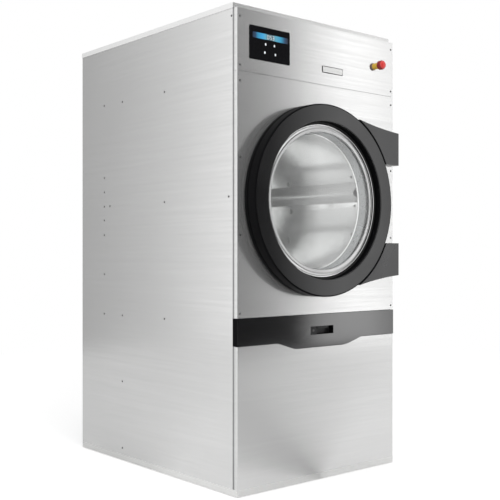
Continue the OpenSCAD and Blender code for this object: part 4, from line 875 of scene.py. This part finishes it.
# Emergency stop: radii, and distances before the front panels
stopDims = {"bore": 8.1, "base": 14.0, "collar": 11.9, "head": 17.5, "seat": 13.5, "shell": 10.9, "step": 11.0,
            "neck": 33.0, "under": 38.0, "rim": 54.0, "tip": 61.9}


# The panel in the photo shows no mirror image of the button, so glossy rays pass it
def makeStop():
    d = stopDims
    bore, base, collar, head, shell = d["bore"], d["base"], d["collar"], d["head"], d["shell"]
    seat, step, neck, under, rim = d["seat"], -d["step"], -d["neck"], -d["under"], -d["rim"]
    shapes = [
        # The base ring is real, and its brown is a painted reflection of the yellow collar in the panel
        ("stopBase", "brownPaintedReflection", "stop_collar", True, 64,
         [(bore, seat), (bore, step), (collar + 0.6, step), (base, step + 2.5), (base, 0), (shell, 0), (shell, seat)],
         [0.2, 0.2, 0.3, 1.6, 0.2, 0.2, 0.2]),
        ("stopCollar", "safetyYellow", "stop_collar", False, 64,
         [(bore, step), (bore, neck), (collar - 1, neck), (collar, neck + 2), (collar, step)],
         [0.2, 0.4, 0.6, 0.8, 0.2]),
        # The rim takes the darker red, painted shade on the sides of the head
        ("stopHeadRim", "signalRedPaintedShade", "stop_head", False, 80,
         [(bore, under), (bore, rim), (head - 2.6, rim), (head, rim + 2), (head, under - 2), (head - 1.6, under)],
         [0.2, 0.2, 0.6, 1.5, 1.0, 0.6]),
        ("stopHeadFace", "signalRed", "stop_head", True, 80,
         [(0, rim - 0.2), (0, -d["tip"]), (8, -61.3), (13, -59.5), (15.6, -56), (14.8, rim - 0.2)],
         [0, 0, 6, 3, 1.0, 0.2])]
    centre = middle("stop_head")
    pieces = [turned(name, outline, radii, centre, finish, node, first, steps)
              for name, finish, node, first, steps, outline, radii in shapes]
    for piece in pieces + [allNodes["stop_plunger"]]:
        piece.visible_glossy = False


makeDisplay()
makeBadge()
makeStop()
print("controls dressed")


# Door

doorDims = {"outer": 348, "hole": 286, "face": -62, "wall": 4, "edge": 5, "back": -8, "groove": (-26, -20, 2.4)}


# A polished or glossy ring about the door's axis, whose edge shows, so that it has finer steps
def doorTurned(name, outline, radii, finish, node, first=True):
    turned(name, outline, radii, doorCentre, finish, node, first, ringSteps)


# The ring's pressed face, its outer wall with a shallow groove, and its inner wall
def makeDoorRing():
    d = doorDims
    g0, g1, deep = d["groove"]
    out, hole, wall, face, back = d["outer"], d["hole"], d["wall"], d["face"], d["back"]
    rim = out - d["edge"]
    inside = face + wall
    doorTurned("doorRingFace", [(hole, inside), (hole, face), (rim, face), (rim, inside)], [0.3, 2.4, 0.02, 0.3],
               "ringFace", "door_ring")
    doorTurned("doorRingOuterWall",
               [(rim, face), (out, face), (out, g0), (out - deep, g0 + 1), (out - deep, g1 - 1), (out, g1),
                (out, back), (out - wall, back), (out - wall, inside), (rim, inside)],
               [0.02, d["edge"] - 0.1, 1.0, 0.8, 0.8, 1.0, 0.6, 0.4, 0.3, 0.3], "ringWall", "door_ring", False)
    doorTurned("doorRingInnerWall", [(hole, inside), (hole, back), (hole + wall, back), (hole + wall, inside)],
               [0.1, 0.4, 0.4, 0.3], "ringWall", "door_ring", False)


clampDims = {"inner": 250, "outer": 278, "foot": -30, "step": -34.2, "valley": -33, "floor": -32.6, "bead": 272.4,
             "crown": -35.4}


# The glass's clamp: two plain steps and a bead along the outer edge, whose steel is a lighter copy of the clamp's, a
# painted highlight
def makeClampRing():
    d = clampDims
    inner, outer, foot, step, valley, floor = d["inner"], d["outer"], d["foot"], d["step"], d["valley"], d["floor"]
    doorTurned("clampRing",
               [(inner, foot), (inner, floor), (252, -34), (261, step), (262, valley), (264, valley), (265, step),
                (271, -34.6), (272, floor), (outer, floor), (outer, foot)],
               [0.3, 1.0, 1.2, 0.5, 0.2, 0.2, 0.4, 0.5, 0.2, 0.3, 0.3], "clampSteel", "glass_clamp_ring")
    root = floor + 0.2
    doorTurned("clampBead", [(d["bead"], root), (d["bead"], d["crown"]), (outer, d["crown"]), (outer, root)],
               [0.1, 2.3, 2.3, 0.1], "beadSteelPaintedHighlight", "glass_clamp_ring", False)


# Black rubber round the glass, between the clamp and the ring
def makeGasket():
    turned("glassGasket", [(272, -30), (278.3, -30), (278.3, -33), (285.7, -33), (285.7, -24), (272, -24)],
           [0.1, 0.1, 1.2, 0.6, 0.2, 0.2], doorCentre, "blackRubber", "glass_gasket")


# The lip that presses on the loading collar: a hollow rounded bulb on a flat root
def makeSeal():
    turned("doorSeal", [(264, -22), (283.7, -22), (283.7, -18.3), (276, -16.3), (266, -16.3), (264, -18.3)],
           [0.4, 0.4, 1.6, 2.4, 1.4, 1.2], doorCentre, "blackRubber", "door_seal")


makeDoorRing()
makeClampRing()
makeGasket()
makeSeal()
for node in ("hinge_arm_upper", "hinge_arm_lower"):
    soften(node, 0.8, 3)
for node in ("door_back_plate", "hinge_brackets", "hinge_pins", "door_keeper", "door_magnet"):
    soften(node, 0.4)
print("door dressed")


# Drum and loading opening

# Collar: the tube through the front, the funnel that runs in from it to a bright edge, the flange behind the
# panel and the felt's flange
def makeCollar():
    outline = [
        (268, 33), (268, 6.2), (249.5, 23.5), (247.5, 23.5), (247.5, 20.5), (268, 2.4), (268, -16), (272, -16),
        (272, -12), (270, -11), (270, 1.5), (301.5, 1.5), (301.5, 3.5), (270, 3.5), (270, 28), (295.5, 28),
        (295.5, 30), (270, 30), (270, 33)]
    radii = [0.6, 0.5, 0.3, 0.3, 0.3, 2.0, 1.95, 1.95, 1.6, 0.6, 0.4, 0.5, 0.5, 0.6, 0.6, 0.5, 0.5, 0.6, 0.6]
    doorTurned("loadingCollar", outline, radii, "collarSteel", "loading_collar")
    edge = [(244.9, 22.6), (248.4, 19.4), (250.2, 19.4), (250.2, 24.6), (244.9, 24.6)]
    doorTurned("collarRolledEdge", edge, [1.6, 1.6, 0.8, 0.8, 0.4], "lipSteel", "loading_collar", False)


# Drum front: a rolled lip that runs out into a shallow cone
def makeDrumFront():
    outline = [(265, 42), (265, 36), (270.6, 36), (335, 55.8), (335, 60), (333, 60), (333, 57.8), (271.4, 40.6),
               (270.4, 42)]
    doorTurned("drumLip", outline, [2.6, 2.9, 1.6, 3, 0.2, 0.2, 2, 1, 0.6], "drumSteel", "drum_front")


lifterDims = {"count": 3, "turn": 9.5, "high": 60.0, "wide": 80.0, "sheet": 2.0, "crest": 10.0, "wall": 333.0,
              "front": 68.0, "back": 574.7, "smooth": 24.0}


# Lifters: a folded ridge's rounded section, drawn in (distance from the axis, distance across it), carried along Y
def makeLifters():
    d = lifterDims
    half, crest, t = d["wide"] / 2, d["crest"], d["sheet"]
    foot = math.sqrt(d["wall"] ** 2 - half ** 2) - 0.3
    tip = foot - d["high"]
    outer = [(foot, -half), (foot - 8, -half), (tip + 5, -crest), (tip, -crest + 7), (tip + 1.5, 0),
             (tip, crest - 7), (tip + 5, crest), (foot - 8, half), (foot, half)]
    inner = [(foot, half - t), (foot - 7, half - t), (tip + 7, crest - t), (tip + t + 0.5, 0),
             (tip + 7, -crest + t), (foot - 7, -half + t), (foot, -half + t)]
    radii = [0.3, 9, 7, 2.0, 2.0, 2.0, 7, 9, 0.3, 0.3, 7, 5, 3, 5, 7, 0.3]
    section = softProfile(np.array(outer + inner) * mm, np.array(radii) * mm)
    turn = np.radians(d["turn"] + np.arange(d["count"]) * 360 / d["count"])
    across = np.stack([np.cos(turn), 0 * turn, np.sin(turn)], -1)
    up = np.stack([-np.sin(turn), 0 * turn, np.cos(turn)], -1)
    start = np.tile(doorCentre, (d["count"], 1))
    end = start.copy()
    start[:, 1], end[:, 1] = frontY + d["front"] * mm, frontY + d["back"] * mm
    mesh = barsMesh("drumLifters", section, start, end, across, up, d["smooth"])
    linkAt("drumLifters", mesh, "lifterSteel", "drum_lifters")


makeCollar()
makeDrumFront()
makeLifters()
roundShading(soften("drum_shell", 0), doorCentre)
soften("drum_back_wall", 0)
soften("drum_felt_ring", 0.5)
print("drum dressed")


# Lint filter

# The drawer's front is glossy on its outer face, matt on its returns, and between the two inside the recess
def makeDrawerFront():
    mesh = soften("filter_drawer_front", 0.45).data
    for finish in ("ringWall", "blackSide"):
        mesh.materials.append(finishes[finish])
    outer = corners("filter_drawer_front")[0][1] + 0.5 * mm
    for face in mesh.polygons:
        forward = face.normal.y < -facing
        face.material_index = (0 if face.center.y < outer else 2) if forward else 1


makeDrawerFront()
soften("drawer_lock", 0.3)
soften("lint_tray", 0.4)

screenDims = {"pitch": 7.0, "wire": 0.7, "rim": 5.0}


# Screen: straight wires of a square section across and along, in two layers, on the frame of the CAD screen
def makeScreen():
    d = screenDims
    low, high = corners("lint_screen")
    level = middle("lint_screen")[2]
    r = d["wire"] * mm / 2
    (x0, y0), (x1, y1) = low[:2] + d["rim"] * mm, high[:2] - d["rim"] * mm
    x, y = np.arange(x0, x1, d["pitch"] * mm), np.arange(y0, y1, d["pitch"] * mm)
    for name, start, end, aside in [
            ("lintWiresAlong", spots(x, y0, level + r), spots(x, y1, level + r), (1, 0, 0)),
            ("lintWiresAcross", spots(x0, y, level - r), spots(x1, y, level - r), (0, 1, 0))]:
        wires = barsMesh(name, rectangle(r, r), start, end, aside, (0, 0, 1))
        linkAt(name, wires, "machinedSteel", "lint_screen", False)


makeScreen()
print("filter dressed")


# Back of the machine

grilleDims = {"slats": 9, "deep": 24.0, "thick": 1.4, "tilt": 38.0, "frame": 12.0}


# Intake: a folded frame round tilted slats. Each slat is a rounded flat section carried across the opening.
def makeGrille():
    d = grilleDims
    low, high = corners("intake_grille")
    edge = d["frame"] * mm
    x0, x1, z0, z1 = low[0] + edge / 2, high[0] - edge / 2, low[2] + edge / 2, high[2] - edge / 2
    y = (low[1] + high[1]) / 2
    flatBar = softProfile(rectangle(edge / 2, mm), 0.5 * mm)
    x, z = np.array([x0, x1]), np.array([z0, z1])
    rails = barsMesh("grilleRails", flatBar, spots(low[0], y, z), spots(high[0], y, z), (0, 0, 1), (0, 1, 0))
    stiles = barsMesh("grilleStiles", flatBar, spots(x, y, low[2] + edge), spots(x, y, high[2] - edge), (1, 0, 0),
                      (0, 1, 0))
    tilt = math.radians(d["tilt"])
    z = np.linspace(z0 + edge, z1 - edge, d["slats"])
    halfDeep, halfThick = d["deep"] * mm / 2, d["thick"] * mm / 2
    section = softProfile(rectangle(halfDeep, halfThick), halfThick * 0.9)
    slatY = high[1] - halfDeep * math.cos(tilt) - 0.5 * mm
    slats = barsMesh("grilleSlats", section, spots(low[0] + edge * 0.9, slatY, z),
                     spots(high[0] - edge * 0.9, slatY, z), (0, math.cos(tilt), -math.sin(tilt)),
                     (0, math.sin(tilt), math.cos(tilt)))
    for number, mesh in enumerate([rails, stiles, slats]):
        linkAt(mesh.name, mesh, "galvanised", "intake_grille", number == 0)


# Cable gland: rows of (radius, distance behind the rear panel, sides) of the nut, the hexagon cap and the bush
def makeGland():
    rows = [
        (7.9, -14, 0), (16, -14, 6), (16, -1.6, 6), (10.8, -1.5, 0), (10.8, 0.1, 0), (14, 0.1, 6),
        (14.6, 1, 6), (14.6, 9, 6), (13.8, 10, 6), (13.2, 10.5, 0), (13.2, 18, 0), (12.2, 22, 0),
        (10.5, 24, 0), (8.6, 24, 0), (7.9, 22, 0), (7.9, -14, 0)]
    spot = middle("supply_gland")
    spot[1] = backY
    linkAt("supplyGland", lathesMesh("supplyGland", rows, spot, (0, 1, 0), 48), "blackPlastic", "supply_gland")


# Exhaust: the pipe's middle, from the cabinet's middle and the floor, its radius, and the bead's and collar's sizes
spigotDims = {"across": 255.0, "up": 405.0, "pipe": 99.0, "bead": 101.0, "beadIn": (12.0, 8.0), "collar": 116.0,
              "steps": 160}


# A rolled bead near the pipe's end and a folded collar against the rear panel
def makeSpigot():
    d = spigotDims
    soften("exhaust_duct", 0.4)
    centre = np.array([d["across"], 0, d["up"]]) * mm
    end = (corners("exhaust_duct")[1][1] - frontY) / mm
    first, last = end - d["beadIn"][0], end - d["beadIn"][1]
    turned("spigotBead", [(d["pipe"], first), (d["bead"], first), (d["bead"], last), (d["pipe"], last)],
           [0.2, 1.9, 1.9, 0.2], centre, "galvanised", "exhaust_duct", False, d["steps"])
    back = (backY - frontY) / mm
    start, inner = back + 0.2, d["pipe"] + 0.4
    turned("spigotCollar",
           [(inner, start), (d["collar"], start), (d["collar"], back + 1.6), (101.5, back + 1.6), (101.5, back + 5),
            (inner, back + 5)],
           [0.1, 0.3, 0.6, 1.2, 0.5, 0.3], centre, "galvanised", "exhaust_duct", False, d["steps"])


makeGrille()
makeGland()
makeSpigot()
print("back dressed")
